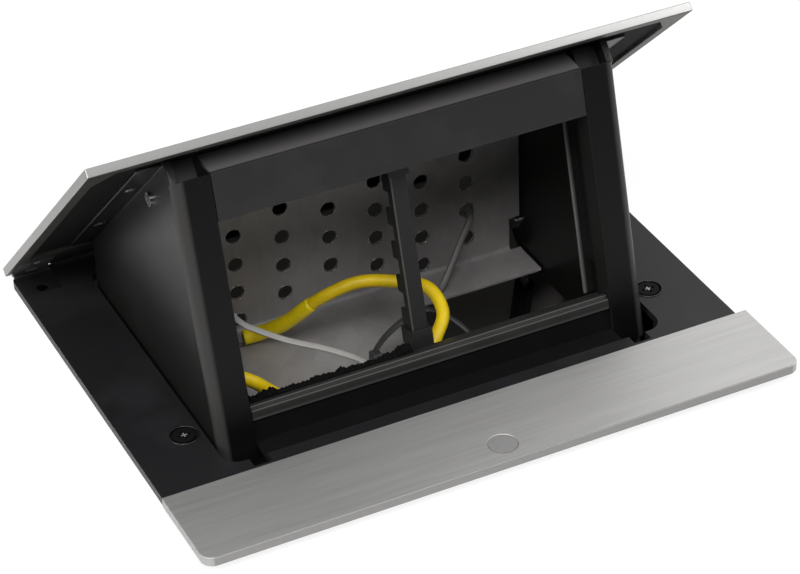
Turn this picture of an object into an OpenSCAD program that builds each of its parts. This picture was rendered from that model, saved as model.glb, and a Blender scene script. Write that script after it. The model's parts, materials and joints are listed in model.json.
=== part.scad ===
// Tilt-up desk socket box, drawn raised: an aluminium lid carries a two-bay module up through a frame plate
// that drops into a cut-out in a desk. The origin is the middle of the frame plate on the desk surface.

/* [Top plates] */
// Width of the lid and of the front strip
top_w = 254; // [230:1:280]
// Depth of the lid, hinge axis to front edge
lid_d = 172.2; // [165:0.1:190]
// Depth of the fixed front strip
strip_d = 41.3; // [38:0.1:55]
// Thickness of the front strip
strip_t = 4; // [3.8:0.05:5]
// Radius of the strip's front corners
strip_r = 5; // [2:0.5:8]
// Reach of the top plates past the frame plate
overhang = 1.8; // [0.5:0.1:4]
// Set-back of the frame plate's front edge behind the strip's
front_inset = 5.4; // [2:0.1:8]
// Gap between the strip and the shut lid
split_gap = 0.4; // [0.2:0.05:1]
// Gap under the shut lid
seat_gap = 0.25; // [0.1:0.05:0.4]

/* [Lid underside] */
// Aluminium rim round the liner
rim_w = 5.5; // [4:0.5:8]
// Depth of the pocket that holds the liner
pocket_depth = 2.4; // [2.3:0.05:2.6]
// Thickness of the liner sheet
liner_t = 1; // [0.8:0.05:1.1]
// Start of the pocket in front of the hinge axis
pocket_start = 26; // [24:0.5:27]
// Length of the liner's cut front corners
liner_cut = 14; // [8:0.5:18]

/* [Frame plate] */
// Thickness of the frame plate
plate_t = 3.5; // [3:0.1:5]
// Radius of the plate's corners
plate_r = 3.2; // [1:0.1:6]
// Radius of the opening's corners
opening_r = 7; // [3:0.5:9]
// Gap between the module and the opening at each side
side_gap = 1.7; // [1:0.1:3]
// Gap between the swinging face and the opening
swing_gap = 0.9; // [0.6:0.1:2]
// Rear edge of the opening in front of the hinge axis
opening_back = 14.1; // [13:0.1:15]
// Width of the rim that bears on the desk
bearing_w = 3; // [2:0.5:3]
// Depth of the relief inside the bearing rim
relief = 0.4; // [0.2:0.1:1]

/* [Hinge] */
// Raised angle of the lid
open_angle = 43.3; // [35:0.1:45]
// Height of the hinge axis above the plate
hinge_up = 0.8; // [0.7:0.05:1]
// Radius of the hinge knuckles
knuckle_r = 1.7; // [1.5:0.05:1.9]
// Length of one knuckle
knuckle_len = 5; // [4:0.1:6]
// Radius of the hinge pin
pin_r = 0.85; // [0.6:0.05:1]
// Thickness of the hinge leaves
leaf_t = 1.2; // [0.9:0.05:1.25]
// Reach of the hinge leaves in front of the axis
leaf_reach = 18; // [14:0.5:22]
// Middle of each hinge from the side of the lid
hinge_inset = 11; // [9.5:0.5:13]

/* [Module] */
// Width over the cheeks
module_w = 188; // [170:1:192]
// Wall of the cheeks
wall = 3; // [2:0.1:4]
// Lean of the face against the lid's normal
face_lean = 29; // [26:0.5:32]
// Set-back of the face's top line from the lid's front edge
face_setback = 11.7; // [11:0.1:16]
// Depth of the face's top line under the hinge axis
ledge_drop = 8.9; // [8.6:0.1:11]
// Width of the posts beside the window
post_w = 15.2; // [12:0.1:20]
// Rounding of the posts
post_r = 5; // [3:0.5:6]
// Depth of the posts' inner lip
lip_d = 10; // [8:0.5:12]
// Height of the blank plate
blank_h = 19.4; // [14:0.1:26]
// Thickness of the blank plate
blank_t = 2; // [1.2:0.1:2.6]
// Drop of the stop flange under the sill
stop_drop = 9.68; // [4:0.01:9]
// Height of the sill
sill_h = 5.8; // [5.4:0.1:9]
// Height of the skirt under the sill
skirt_h = 16; // [15:0.5:20]
// Width of the mullion
mullion_w = 7; // [5:0.5:10]
// Set-back of the mullion behind the face
mullion_back = 11; // [10.5:0.5:14]
// Width of the bars that screw the cheeks to the lid
bar_w = 10; // [8:0.5:13]
// Thickness of those bars
bar_t = 1.2; // [1:0.05:1.25]
// Clearance between pieces of the module
fit_gap = 0.2; // [0.1:0.05:0.3]

/* [Cable tray] */
// Distance of the tray's upright wall in front of the hinge
tray_back = 48.6; // [46:0.2:52]
// Depth of the tray's floor under the hinge
tray_drop = 27.8; // [24:0.2:29]
// Sheet thickness of the tray
tray_t = 1.2; // [0.8:0.1:1.6]
// Bend radius of the tray, inside
bend_r = 2; // [1:0.5:4]
// Diameter of the tray's holes
hole_d = 6.6; // [4:0.1:8]
// Column pitch of the holes
hole_px = 21.5; // [18:0.5:24]
// Row pitch in one column
hole_pz = 14; // [11:0.5:16]
// Depth of the floor beside the cable entry
floor_d = 21; // [16:0.5:28]
// Left edge of the cable entry
entry_x = 26; // [10:1:40]

/* [Latch] */
// Diameter of the release button
button_d = 11.5; // [9:0.1:14]
// Distance of the button in front of the split
button_y = 31.2; // [29:0.1:32]
// Distance of each tongue from the middle
tongue_x = 83; // [82.6:0.1:83.4]
// Width of the tongues
tongue_w = 7; // [5:0.5:7]
// Travel of the latch bar
latch_travel = 4; // [3:0.1:4.2]
// Rise of the button when the lid is locked
button_rise = 1.5; // [1:0.1:1.6]

/* [Gas springs] */
// Radius of the tubes
tube_r = 4.5; // [4.2:0.1:5]
// Radius of the rods
rod_r = 2; // [1.5:0.1:2.4]
// Length of the tubes
tube_len = 46; // [42:0.5:47]
// Distance of the lower stud in front of the hinge
stud_y = 22.6; // [20:0.1:25]
// Depth of the lower stud under the hinge
stud_z = 108.8; // [105:0.1:112]

/* [Desk clamps] */
// Distance of each clamp screw outside the cheeks
clamp_out = 9; // [8:0.5:12]
// Distance of the clamp screws behind the split
clamp_y = 36.5; // [25:0.5:50]
// Radius of the clamp screws
clamp_r = 2.5; // [2:0.1:3]
// Length of the clamp screws under the plate
clamp_len = 68; // [60:1:80]
// Depth of the claws under the desk surface
claw_drop = 30; // [25:1:40]
// Reach of the claws from the screw
claw_reach = 28; // [22:1:34]

/* [Hidden] */
$fn = 48;

// Colours
black_paint = "#1d1d1f";
black_plastic = "#222223";
brushed = "#a9a9a8";
zinc = "#8f8f92";
steel = "#c4c6c8";
dark_grey = "#3a3a3c";

// Clearances
pin_gap = 0.05;
thread_gap = 0.06;
touch_gap = 0.05;
leaf_gap = 0.1;
button_gap = 0.12;
guide_gap = 0.3;
stop_gap = 0.3;
eps = 0.01;

// Places of the plates, from the driving sizes
plate_w = top_w - 2 * overhang;
knuckle_gap = 0.4;
knuckle_room = knuckle_r + 0.35;
plate_rear = split_gap + lid_d - knuckle_r - knuckle_gap;
seat_d = strip_d - overhang + plate_rear;
split_y = strip_d - overhang - seat_d / 2;
plate_d = strip_d - front_inset + plate_rear;
plate_mid = (front_inset - overhang) / 2;
hinge_y = split_y + split_gap + lid_d;
hinge_z = plate_t + hinge_up;
hinge_x = top_w / 2 - hinge_inset;
lid_t = strip_t - seat_gap;
lid_under = seat_gap - hinge_up;
lid_over = lid_under + lid_t;
pocket_top = lid_under + pocket_depth;
bar_top = pocket_top - liner_t;

// Places of the module in the hinge frame: y back, z up, lid shut
face_reach = lid_d - face_setback;
swing_r = norm([face_reach, ledge_drop]);
opening_front = hinge_y - swing_r - swing_gap;
opening_rear = hinge_y - opening_back;
opening_w = module_w + 2 * side_gap;
cheek_x = module_w / 2;
clamp_x = cheek_x + clamp_out;
post_x = cheek_x - post_w;
inner_x = cheek_x - wall;
// The window takes what the lift of the lid leaves over the stop flange
skirt_in = 1.5;
skirt_t = 2.5;
stop_t = 2.4;
stop_top = -hinge_z - stop_gap + relief;
stop_line = (stop_top - stop_t / 2 + (skirt_in + skirt_t / 2) * sin(open_angle - face_lean)
    - face_reach * sin(open_angle) + ledge_drop * cos(open_angle)) / cos(open_angle - face_lean);
window_h = -stop_line - blank_h - sill_h - stop_drop;
face_h = blank_h + window_h + sill_h + skirt_h;
window_foot = -blank_h - window_h;
sill_foot = window_foot - sill_h;
span_w = 2 * (post_x - fit_gap);
bar_front = lid_d - 16.7;
bar_rear = pocket_start + 1.5;

// Outline helpers
// A point of the raised pose, about the hinge, brought back to the shut lid
function lowered(p) = [
    p[0] * cos(open_angle) - p[1] * sin(open_angle),
    p[0] * sin(open_angle) + p[1] * cos(open_angle)
];
// A point of the hinge frame, about the hinge, in the raised pose
function lifted(p) = [
    p[0] * cos(open_angle) + p[1] * sin(open_angle),
    p[1] * cos(open_angle) - p[0] * sin(open_angle)
];
// A point of the hinge frame seen in the face frame
function on_face(p) =
    let (d = [p[0] + face_reach, p[1] + ledge_drop])
    [d[0] * cos(face_lean) + d[1] * sin(face_lean), d[1] * cos(face_lean) - d[0] * sin(face_lean)];
// A point of the face frame seen in the hinge frame
function off_face(p) = [
    p[0] * cos(face_lean) - p[1] * sin(face_lean) - face_reach,
    p[0] * sin(face_lean) + p[1] * cos(face_lean) - ledge_drop
];
// Height of the bars' top over the face's top line, at a depth behind the face
function under_lid(depth, level) = (level + ledge_drop - depth * sin(face_lean)) / cos(face_lean);
// Height of the liner over the hinge in the raised pose, at a place in front of the hinge
function lid_height(place, level) = (place * sin(open_angle) + level) / cos(open_angle);

module upright() {
    translate([0, hinge_y, hinge_z]) children();
}

module raised() {
    upright() rotate([-open_angle, 0, 0]) children();
}

module face() {
    raised() translate([0, -face_reach, -ledge_drop]) rotate([face_lean, 0, 0]) children();
}

module across(width) {
    rotate([90, 0, 90]) linear_extrude(height = width, center = true) children();
}

module both_sides() {
    children();
    mirror([1, 0, 0]) children();
}

module block(low, high) {
    translate(low) cube(high - low);
}

module rod_x(r, from, to) {
    translate([from, 0, 0]) rotate([0, 90, 0]) cylinder(r = r, h = to - from);
}

// A rectangle with all four corners round, about its middle
module rounded_rect(w, d, r) {
    square([w - 2 * r, d], center = true);
    square([w, d - 2 * r], center = true);
    for (sx = [-1, 1], sy = [-1, 1])
        translate([sx * (w / 2 - r), sy * (d / 2 - r)]) circle(r = r);
}

// A rectangle from y = 0 back to d with its two front corners round
module rounded_front(w, d, r) {
    translate([-w / 2, r]) square([w, d - r]);
    translate([r - w / 2, 0]) square([w - 2 * r, d]);
    for (sx = [-1, 1])
        translate([sx * (w / 2 - r), r]) circle(r = r);
}

// A screw with a countersunk head, head face at z = 0 and shank downwards
module sunk_screw(r, head_r, head_h, length) {
    translate([0, 0, -length]) cylinder(r = r, h = length);
    translate([0, 0, -head_h]) cylinder(r1 = r, r2 = head_r, h = head_h);
}

// The hole for such a screw
module sunk_hole(r, head_r, head_h, length) {
    translate([0, 0, -length - eps]) cylinder(r = r, h = length + 2 * eps);
    translate([0, 0, -head_h]) cylinder(r1 = r, r2 = head_r, h = head_h + eps);
}

// Tubes along a route of chosen points
function smooth(points, steps) = [
    for (i = [0 : len(points) - 2], k = [0 : steps - 1])
        let (
            a = points[max(i - 1, 0)],
            b = points[i],
            c = points[i + 1],
            d = points[min(i + 2, len(points) - 1)],
            t = k / steps
        )
        0.5 * (2 * b + (c - a) * t + (2 * a - 5 * b + 4 * c - d) * t * t
            + (3 * b - a - 3 * c + d) * t * t * t),
    points[len(points) - 1]
];
function unit(v) = v / norm(v);
function tangents(path) = [
    for (i = [0 : len(path) - 1])
        unit(path[min(i + 1, len(path) - 1)] - path[max(i - 1, 0)])
];
function carry(n, t) = unit(n - t * (n * t));
function normals(t, first) = [
    for (i = 0, n = carry(first, t[0]); i < len(t); i = i + 1, n = carry(n, t[min(i, len(t) - 1)])) n
];

// One closed tube: a ring of section points, scaled ring by ring, along the path
module sweep(path, section, first, scales) {
    t = tangents(path);
    n = normals(t, first);
    m = len(section);
    rings = len(path);
    points = [
        for (i = [0 : rings - 1], s = section)
            path[i] + scales[i] * (s[0] * n[i] + s[1] * cross(t[i], n[i]))
    ];
    sides = [
        for (i = [0 : rings - 2], j = [0 : m - 1])
            let (a = i * m + j, b = i * m + (j + 1) % m)
            each [[a, b + m, b], [a, a + m, b + m]]
    ];
    caps = [
        for (j = [1 : m - 2])
            each [[0, j, j + 1], [(rings - 1) * m, (rings - 1) * m + j + 1, (rings - 1) * m + j]]
    ];
    polyhedron(points = points, faces = concat(sides, caps), convexity = 6);
}
function ring(r, sides) = [for (j = [0 : sides - 1]) r * [cos(360 * j / sides), sin(360 * j / sides)]];

// Frame plate

strip_screw_x = [-plate_w * 0.42, -plate_w * 0.24, plate_w * 0.24, plate_w * 0.42];
strip_screw_y = split_y - 12;
strip_screw_r = 1.5;
sunk_head_r = 2.9;
sunk_head_h = 1.5;
button_place = split_y - button_y;
// The stem stands behind the button's middle, so that the latch bar clears the plate's rim
stem_back = 3.5;
stem_place = button_place + stem_back;
stem_r = 2;
dimple_r = 6;
dimple_h = 1.6;
notch_d = 5;
bracket_in = cheek_x + 12;
bracket_out = bracket_in + 6;
bracket_t = 1.5;
bracket_front = opening_back + 62;
bracket_rear = opening_back + 6;
bracket_screw_y = [hinge_y - bracket_front + 6, hinge_y - bracket_rear - 6];
bracket_screw_x = (bracket_in + bracket_out) / 2 + bracket_t;
tap_r = 1.5;
screw_gap = 0.15;
leaf_w = 3 * knuckle_len + 4 * leaf_gap;
leaf_screw_y = 14.5;
leaf_screw_r = 1;
leaf_head_r = 2.4;
guide_y = split_y - 8;
guide_w = tongue_w + 6;
guide_d = 8;
guide_t = 1.2;
rivet_r = 1;

module plate_underside_pocket() {
    inner_w = plate_w - 2 * bearing_w;
    inner_d = plate_d - 2 * bearing_w;
    translate([0, plate_mid, -eps]) linear_extrude(relief + eps) rounded_rect(inner_w, inner_d, plate_r);
}

module leaf_recess() {
    low = hinge_z - hinge_up - leaf_t - touch_gap;
    block([hinge_x - leaf_w / 2 - leaf_gap, hinge_y - leaf_reach - leaf_gap, low],
        [hinge_x + leaf_w / 2 + leaf_gap, hinge_y, plate_t + eps]);
}

module frame_plate() color(black_paint) difference() {
    translate([0, plate_mid, 0]) linear_extrude(plate_t) rounded_rect(plate_w, plate_d, plate_r);
    plate_underside_pocket();
    translate([0, opening_front, -eps]) linear_extrude(plate_t + 2 * eps)
        translate([0, (opening_rear - opening_front) / 2])
            rounded_rect(opening_w, opening_rear - opening_front, opening_r);
    for (x = strip_screw_x)
        translate([x, strip_screw_y, relief]) mirror([0, 0, 1])
            sunk_hole(strip_screw_r + pin_gap, sunk_head_r + pin_gap, sunk_head_h, plate_t - relief);
    translate([0, stem_place, -eps]) cylinder(r = stem_r + pin_gap, h = plate_t + 2 * eps);
    both_sides() {
        translate([clamp_x, split_y + clamp_y, -eps])
            cylinder(r = clamp_r + thread_gap, h = plate_t + 2 * eps);
        translate([clamp_x, split_y + clamp_y, plate_t - dimple_h])
            cylinder(r = dimple_r, h = dimple_h + eps);
        block([tongue_x - tongue_w / 2 - guide_gap, opening_front - notch_d, -eps],
            [tongue_x + tongue_w / 2 + guide_gap, opening_front + opening_r, plate_t + eps]);
        for (y = bracket_screw_y)
            translate([bracket_screw_x, y, -eps]) cylinder(r = tap_r + pin_gap, h = plate_t - 0.8 + eps);
        for (sx = [-1, 1])
            translate([tongue_x + sx * (guide_w / 2 + 2.5), guide_y, -eps])
                cylinder(r = rivet_r + pin_gap, h = plate_t - 0.8 + eps);
        leaf_recess();
        translate([hinge_x, hinge_y - leaf_screw_y, -eps])
            cylinder(r = leaf_screw_r + pin_gap, h = plate_t + 2 * eps);
    }
}

module front_strip() color(brushed) difference() {
    translate([0, split_y - strip_d, plate_t]) linear_extrude(strip_t) rounded_front(top_w, strip_d, strip_r);
    translate([0, stem_place, plate_t - eps]) cylinder(r = stem_r + pin_gap, h = strip_t + 2 * eps);
    translate([0, button_place, plate_t + strip_t - button_cap_h - touch_gap])
        cylinder(d = button_d + 2 * button_gap, h = button_cap_h + touch_gap + eps);
    for (x = strip_screw_x)
        translate([x, strip_screw_y, plate_t - eps])
            cylinder(r = strip_screw_r + pin_gap, h = strip_screw_bite + touch_gap + eps);
}

strip_screw_bite = 2.6;

module strip_screws() color(steel)
    for (x = strip_screw_x)
        translate([x, strip_screw_y, relief + touch_gap]) mirror([0, 0, 1])
            sunk_screw(strip_screw_r, sunk_head_r, sunk_head_h,
                plate_t - relief + strip_screw_bite - touch_gap);

// Brackets under the plate that carry the lower ends of the gas springs

lift_x = cheek_x + 6;
stud_r = 2;
eye_r = 4.2;
eye_w = 4;
stud_head_r = 3;

module spring_bracket() {
    difference() {
        union() {
            translate([bracket_in + bracket_t / 2, hinge_y, 0]) across(bracket_t) polygon([
                [-bracket_front, relief - touch_gap],
                [-bracket_rear, relief - touch_gap],
                [-bracket_rear, -14],
                [-stud_y + eye_r + 3, hinge_z - stud_z - 3],
                [-stud_y + eye_r, hinge_z - stud_z - eye_r - 2],
                [-stud_y - eye_r, hinge_z - stud_z - eye_r - 2],
                [-stud_y - eye_r - 3, hinge_z - stud_z - 3],
                [-bracket_front, -14]
            ]);
            block([bracket_in, hinge_y - bracket_front, relief - touch_gap - bracket_t],
                [bracket_out + bracket_t, hinge_y - bracket_rear, relief - touch_gap]);
        }
        for (y = bracket_screw_y)
            translate([bracket_screw_x, y, -bracket_t]) cylinder(r = tap_r + screw_gap, h = 2 * bracket_t);
        translate([bracket_in + bracket_t / 2, hinge_y, 0]) across(2 * bracket_t)
            translate([-(bracket_front + stud_y) / 2, -30]) circle(r = 9);
    }
}

module spring_bracket_right() color(zinc) spring_bracket();

module spring_bracket_left() color(zinc) mirror([1, 0, 0]) spring_bracket();

// Lower studs, riveted to the brackets
module bracket_studs() color(steel) both_sides() upright() translate([0, -stud_y, -stud_z]) {
    rod_x(stud_r, lift_x - eye_w / 2 - 0.8, bracket_in - 1);
    rod_x(stud_head_r, lift_x + eye_w / 2 + 0.2, bracket_in - touch_gap);
}

module bracket_screws() color(steel) both_sides()
    for (y = bracket_screw_y)
        translate([bracket_screw_x, y, 0]) {
            translate([0, 0, relief - bracket_t - touch_gap - 2]) cylinder(r = 2.8, h = 2 - touch_gap);
            translate([0, 0, relief - bracket_t - touch_gap - 2])
                cylinder(r = tap_r, h = plate_t - 0.8 - relief + bracket_t + 2);
        }

// Desk clamps

clamp_head_r = 4.6;
clamp_head_h = 1.8;

module clamp_screws() color(steel) both_sides()
    translate([clamp_x, split_y + clamp_y, 0]) difference() {
        union() {
            translate([0, 0, -clamp_len]) cylinder(r = clamp_r, h = clamp_len + plate_t - dimple_h + 1);
            translate([0, 0, plate_t - dimple_h + touch_gap]) cylinder(r = clamp_head_r, h = clamp_head_h);
        }
        for (turn = [0, 90])
            translate([0, 0, plate_t - dimple_h + clamp_head_h]) rotate(turn)
                cube([5.4, 1, 2.2], center = true);
    }

claw_t = 3;
claw_w = 13;
claw_boss_r = 5.5;
claw_tip = 5;

module clamp_claw() {
    translate([clamp_x, split_y + clamp_y, -claw_drop]) difference() {
        union() {
            translate([0, 0, -4]) cylinder(r = claw_boss_r, h = 11);
            translate([0, -claw_w / 2, 0]) cube([claw_reach, claw_w, claw_t]);
            cylinder(d = claw_w, h = claw_t);
            translate([claw_reach - claw_t, 0, claw_t + claw_tip / 2 - eps]) difference() {
                translate([claw_t / 2, 0, 0]) cube([claw_t, claw_w, claw_tip], center = true);
                for (k = [-1, 1])
                    translate([claw_t / 2, k * claw_w / 4, claw_tip / 2])
                        cube([2 * claw_t, 2, 3], center = true);
            }
        }
        translate([0, 0, -5]) cylinder(r = clamp_r + thread_gap, h = 14);
    }
}

module clamp_claw_right() color(zinc) clamp_claw();

module clamp_claw_left() color(zinc) mirror([1, 0, 0]) clamp_claw();

// Hinges

lid_knuckle = [hinge_x - knuckle_len / 2, hinge_x + knuckle_len / 2];
frame_knuckles = [
    [hinge_x - leaf_w / 2, lid_knuckle[0] - 2 * leaf_gap],
    [lid_knuckle[1] + 2 * leaf_gap, hinge_x + leaf_w / 2]
];
frame_leaf_top = -hinge_up - touch_gap;

module frame_leaf() {
    upright() difference() {
        union() {
            block([hinge_x - leaf_w / 2, -leaf_reach, frame_leaf_top - leaf_t],
                [hinge_x + leaf_w / 2, -knuckle_room - leaf_gap, frame_leaf_top]);
            for (k = frame_knuckles) {
                rod_x(knuckle_r, k[0], k[1]);
                block([k[0], -knuckle_room - 1, frame_leaf_top - leaf_t], [k[1], 0, frame_leaf_top]);
            }
        }
        rod_x(pin_r + pin_gap, hinge_x - leaf_w, hinge_x + leaf_w);
        translate([hinge_x, -leaf_screw_y, frame_leaf_top])
            sunk_hole(leaf_screw_r + screw_gap, leaf_head_r + screw_gap, leaf_t * 0.9, leaf_t);
    }
}

module frame_leaves() color(black_paint) both_sides() frame_leaf();

module frame_leaf_screws() color(dark_grey) both_sides()
    upright() translate([hinge_x, -leaf_screw_y, frame_leaf_top - touch_gap])
        sunk_screw(leaf_screw_r, leaf_head_r, leaf_t * 0.9, plate_t - 0.6);

module hinge_pins() color(steel) both_sides() upright() {
    rod_x(pin_r, hinge_x - leaf_w / 2 - 0.4, hinge_x + leaf_w / 2 + eps);
    rod_x(knuckle_r * 0.8, hinge_x + leaf_w / 2 + eps, hinge_x + leaf_w / 2 + 0.6);
}

module lid_leaf() {
    difference() {
        union() {
            block([hinge_x - leaf_w / 2, -leaf_reach, lid_under + touch_gap],
                [hinge_x + leaf_w / 2, -knuckle_room - leaf_gap, lid_under + touch_gap + leaf_t]);
            rod_x(knuckle_r, lid_knuckle[0], lid_knuckle[1]);
            block([lid_knuckle[0], -knuckle_room - 1, lid_under + touch_gap],
                [lid_knuckle[1], 0, lid_under + leaf_t]);
        }
        rod_x(pin_r + pin_gap, hinge_x - leaf_w, hinge_x + leaf_w);
        translate([hinge_x, -leaf_screw_y, lid_under + touch_gap]) mirror([0, 0, 1])
            sunk_hole(leaf_screw_r + screw_gap, leaf_head_r + screw_gap, leaf_t * 0.9, leaf_t);
    }
}

module lid_leaves() color(zinc) raised() both_sides() lid_leaf();

lid_screw_len = leaf_t + 1.2;

module lid_leaf_screws() color(steel) raised() both_sides()
    translate([hinge_x, -leaf_screw_y, lid_under + 2 * touch_gap]) mirror([0, 0, 1])
        sunk_screw(leaf_screw_r, leaf_head_r, leaf_t * 0.9, lid_screw_len - 2 * touch_gap);

// Lid

liner_w = top_w - 2 * rim_w;
liner_front = lid_d - rim_w;
cheek_screw_y = [65.3, 122.3];
cheek_screw_r = 1.3;
cheek_head_r = 2.5;
bar_screw_x = cheek_x + bar_w / 2;
tray_screw_x = [-hole_px * 2.5, 0, hole_px * 2.5];
tray_flange_d = 12;
tray_top_y = (tray_back + bar_top * sin(open_angle)) / cos(open_angle);
tray_screw_y = tray_top_y - tray_flange_d * 0.6;

module liner_outline(grow) {
    half = liner_w / 2 + grow;
    polygon([
        [-half, -pocket_start + grow],
        [half, -pocket_start + grow],
        [half, -liner_front + liner_cut - grow / 2],
        [half - liner_cut / 2, -liner_front - grow],
        [-half + liner_cut / 2, -liner_front - grow],
        [-half, -liner_front + liner_cut - grow / 2]
    ]);
}

// Places of the screws that hold the cheeks and the tray to the lid
module lid_screw_places() {
    for (sx = [-1, 1], y = cheek_screw_y)
        translate([sx * bar_screw_x, -y, 0]) children();
    for (x = tray_screw_x)
        translate([x, -tray_screw_y, 0]) children();
}

module lid_plate() color(brushed) raised() difference() {
    translate([0, -lid_d, lid_under]) linear_extrude(lid_t)
        translate([0, lid_d / 2]) square([top_w, lid_d], center = true);
    translate([0, 0, lid_under - eps]) linear_extrude(pocket_depth + eps) liner_outline(leaf_gap);
    lid_screw_places() translate([0, 0, pocket_top - eps])
        cylinder(r = cheek_screw_r + pin_gap, h = 1.05 + eps);
    both_sides() {
        block([hinge_x - leaf_w / 2 - leaf_gap, -leaf_reach - leaf_gap, lid_under - eps],
            [hinge_x + leaf_w / 2 + leaf_gap, leaf_gap, lid_under + leaf_t + 2 * touch_gap]);
        block([hinge_x - leaf_w / 2 - 0.8, -knuckle_room, lid_under - eps],
            [hinge_x + leaf_w / 2 + 0.8, leaf_gap, 0]);
        rod_x(knuckle_room, hinge_x - leaf_w / 2 - 0.8, hinge_x + leaf_w / 2 + 0.8);
        translate([hinge_x, -leaf_screw_y, lid_under - eps])
            cylinder(r = leaf_screw_r + pin_gap, h = lid_screw_len + touch_gap + eps);
    }
}

module lid_liner() color(black_plastic) raised() difference() {
    translate([0, 0, bar_top + eps]) linear_extrude(liner_t - 2 * eps) liner_outline(0);
    lid_screw_places() translate([0, 0, bar_top - 1]) cylinder(r = cheek_screw_r + pin_gap, h = liner_t + 2);
}

// Cheeks: side walls with the posts beside the window and the bars that screw to the lid

cheek_rear = 12;
cheek_bottom = tray_drop + 4;
post_back = 6;
ear_back = 2;
seam = 0.02;

module post_section() {
    difference() {
        union() {
            translate([post_x, 0]) square([post_w - post_r - seam, lip_d]);
            translate([post_x, post_r]) square([post_w - seam, lip_d - post_r]);
            translate([cheek_x - post_r - seam, post_r]) circle(r = post_r);
        }
        translate([post_x + 2, wall]) square([post_w - 2 - wall + seam, lip_d]);
    }
}

// The wall behind the post, in the hinge frame
module cheek_outline() {
    foot = off_face([post_back, -face_h]);
    ledge = off_face([post_back, 0]);
    rear_top = lowered([-opening_back - 5.9, lid_height(opening_back + 5.9, bar_top)]);
    rear_mid_z = (cheek_rear - (opening_back + 5.9) * cos(open_angle)) / sin(open_angle);
    rear_mid = lowered([-opening_back - 5.9, rear_mid_z]);
    rear_foot_z = (cheek_rear * sin(open_angle) + cheek_bottom) / -cos(open_angle);
    polygon([
        [rear_top[0], bar_top - eps],
        [-face_reach + ear_back, bar_top - eps],
        [-face_reach + ear_back, -ledge_drop],
        [ledge[0], -ledge_drop],
        foot,
        lowered([-face_reach * 0.85, -cheek_bottom]),
        [-cheek_rear, rear_foot_z],
        rear_mid
    ]);
}

module cheek() {
    difference() {
        union() {
            raised() translate([inner_x + wall / 2, 0, 0]) across(wall) cheek_outline();
            intersection() {
                face() translate([0, 0, -face_h]) linear_extrude(face_h + 20) post_section();
                raised() block([0, -2 * face_reach, -2 * face_reach], [top_w, 0, -ledge_drop]);
            }
            raised() translate([0, 0, bar_top - bar_t]) linear_extrude(bar_t - eps) {
                translate([inner_x, -bar_front]) square([wall + bar_w, bar_front - bar_rear - bar_w / 2]);
                translate([cheek_x + bar_w / 2, -bar_rear - bar_w / 2]) circle(d = bar_w);
                translate([inner_x, -bar_rear - bar_w / 2 - eps]) square([wall + bar_w / 2, bar_w / 2]);
            }
        }
        raised() for (y = cheek_screw_y)
            translate([bar_screw_x, -y, bar_top - bar_t]) mirror([0, 0, 1])
                sunk_hole(cheek_screw_r + screw_gap, cheek_head_r + screw_gap, bar_t * 0.8, bar_t);
        upright() translate([0, -stud_b[0], -stud_b[1]])
            rod_x(lift_stud_r + pin_gap, inner_x - 1, cheek_x + 1);
        raised() translate([0, -side_screw[0], -side_screw[1]])
            rod_x(side_screw_r + pin_gap, inner_x - 1, cheek_x + 1);
    }
}

module cheek_right() color(black_plastic) cheek();

module cheek_left() color(black_plastic) mirror([1, 0, 0]) cheek();

module cheek_screws() color(steel) raised() both_sides()
    for (y = cheek_screw_y)
        translate([bar_screw_x, -y, bar_top - bar_t + touch_gap]) mirror([0, 0, 1])
            sunk_screw(cheek_screw_r, cheek_head_r, bar_t * 0.8, bar_t + liner_t + 0.9);

// A small screw near the top of each cheek, behind and below the lid's front
side_screw = [128, 6.6];
side_screw_r = 1.5;

module cheek_side_screws() color(steel) raised() both_sides() translate([0, -side_screw[0], -side_screw[1]]) {
    rod_x(side_screw_r, inner_x - 0.8, cheek_x + touch_gap + eps);
    rod_x(3, cheek_x + touch_gap, cheek_x + 1.2);
}

// Keepers: the latch tongues pass over their ledges when the lid is shut

keeper_in = 8;
keeper_t = 4.5;
keeper_h = 5;

module keeper() {
    ledge_in = wall / cos(face_lean) + fit_gap;
    foot_in = ledge_in + keeper_h * tan(face_lean);
    width = inner_x - post_x - 2 - 2 * fit_gap;
    raised() translate([(post_x + 2 + inner_x) / 2, 0, 0]) across(width) polygon([
        [-face_reach + ledge_in, -ledge_drop],
        [-face_reach + keeper_in, -ledge_drop],
        [-face_reach + keeper_in, bar_top - touch_gap],
        [-face_reach + keeper_in + keeper_t, bar_top - touch_gap],
        [-face_reach + keeper_in + keeper_t, -ledge_drop - keeper_h],
        [-face_reach + foot_in, -ledge_drop - keeper_h]
    ]);
}

module keeper_right() color(black_plastic) keeper();

module keeper_left() color(black_plastic) mirror([1, 0, 0]) keeper();

// Blank plate with its shelf, and the rail behind it

shelf_in = 9;

module blank_plate() color(dark_grey) face() across(span_w) {
    shelf = on_face([-face_reach + shelf_in, bar_top - touch_gap]);
    polygon([
        [0, -blank_h],
        [0, 0],
        shelf,
        [shelf[0] + blank_t, shelf[1] - blank_t * tan(face_lean)],
        [blank_t, -blank_t],
        [blank_t, -blank_h]
    ]);
}

rail_t = 1.5;
rail_h = 9;

module header_rail() color(black_plastic) face() across(span_w) polygon([
    [blank_t + touch_gap, -blank_h + 1],
    [blank_t + touch_gap, -blank_h + 1 + rail_t],
    [mullion_back - rail_t, -blank_h + 1 + rail_t],
    [mullion_back - rail_t, -blank_h + rail_h],
    [mullion_back, -blank_h + rail_h],
    [mullion_back, -blank_h + 1]
]);

// Mullion, a channel with notched sides, held by a clip at each end

mullion_d = 9;
mullion_t = 1.5;
clip_h = 6;
clip_wrap = 1;
notches = 4;
mullion_top = -blank_h - clip_h / 2;
mullion_foot = window_foot + clip_h / 2;

module mullion_section(half, depth, t) {
    difference() {
        translate([-half, 0]) square([2 * half, depth]);
        translate([-half + t, t]) square([2 * half - 2 * t, depth]);
    }
}

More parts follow.
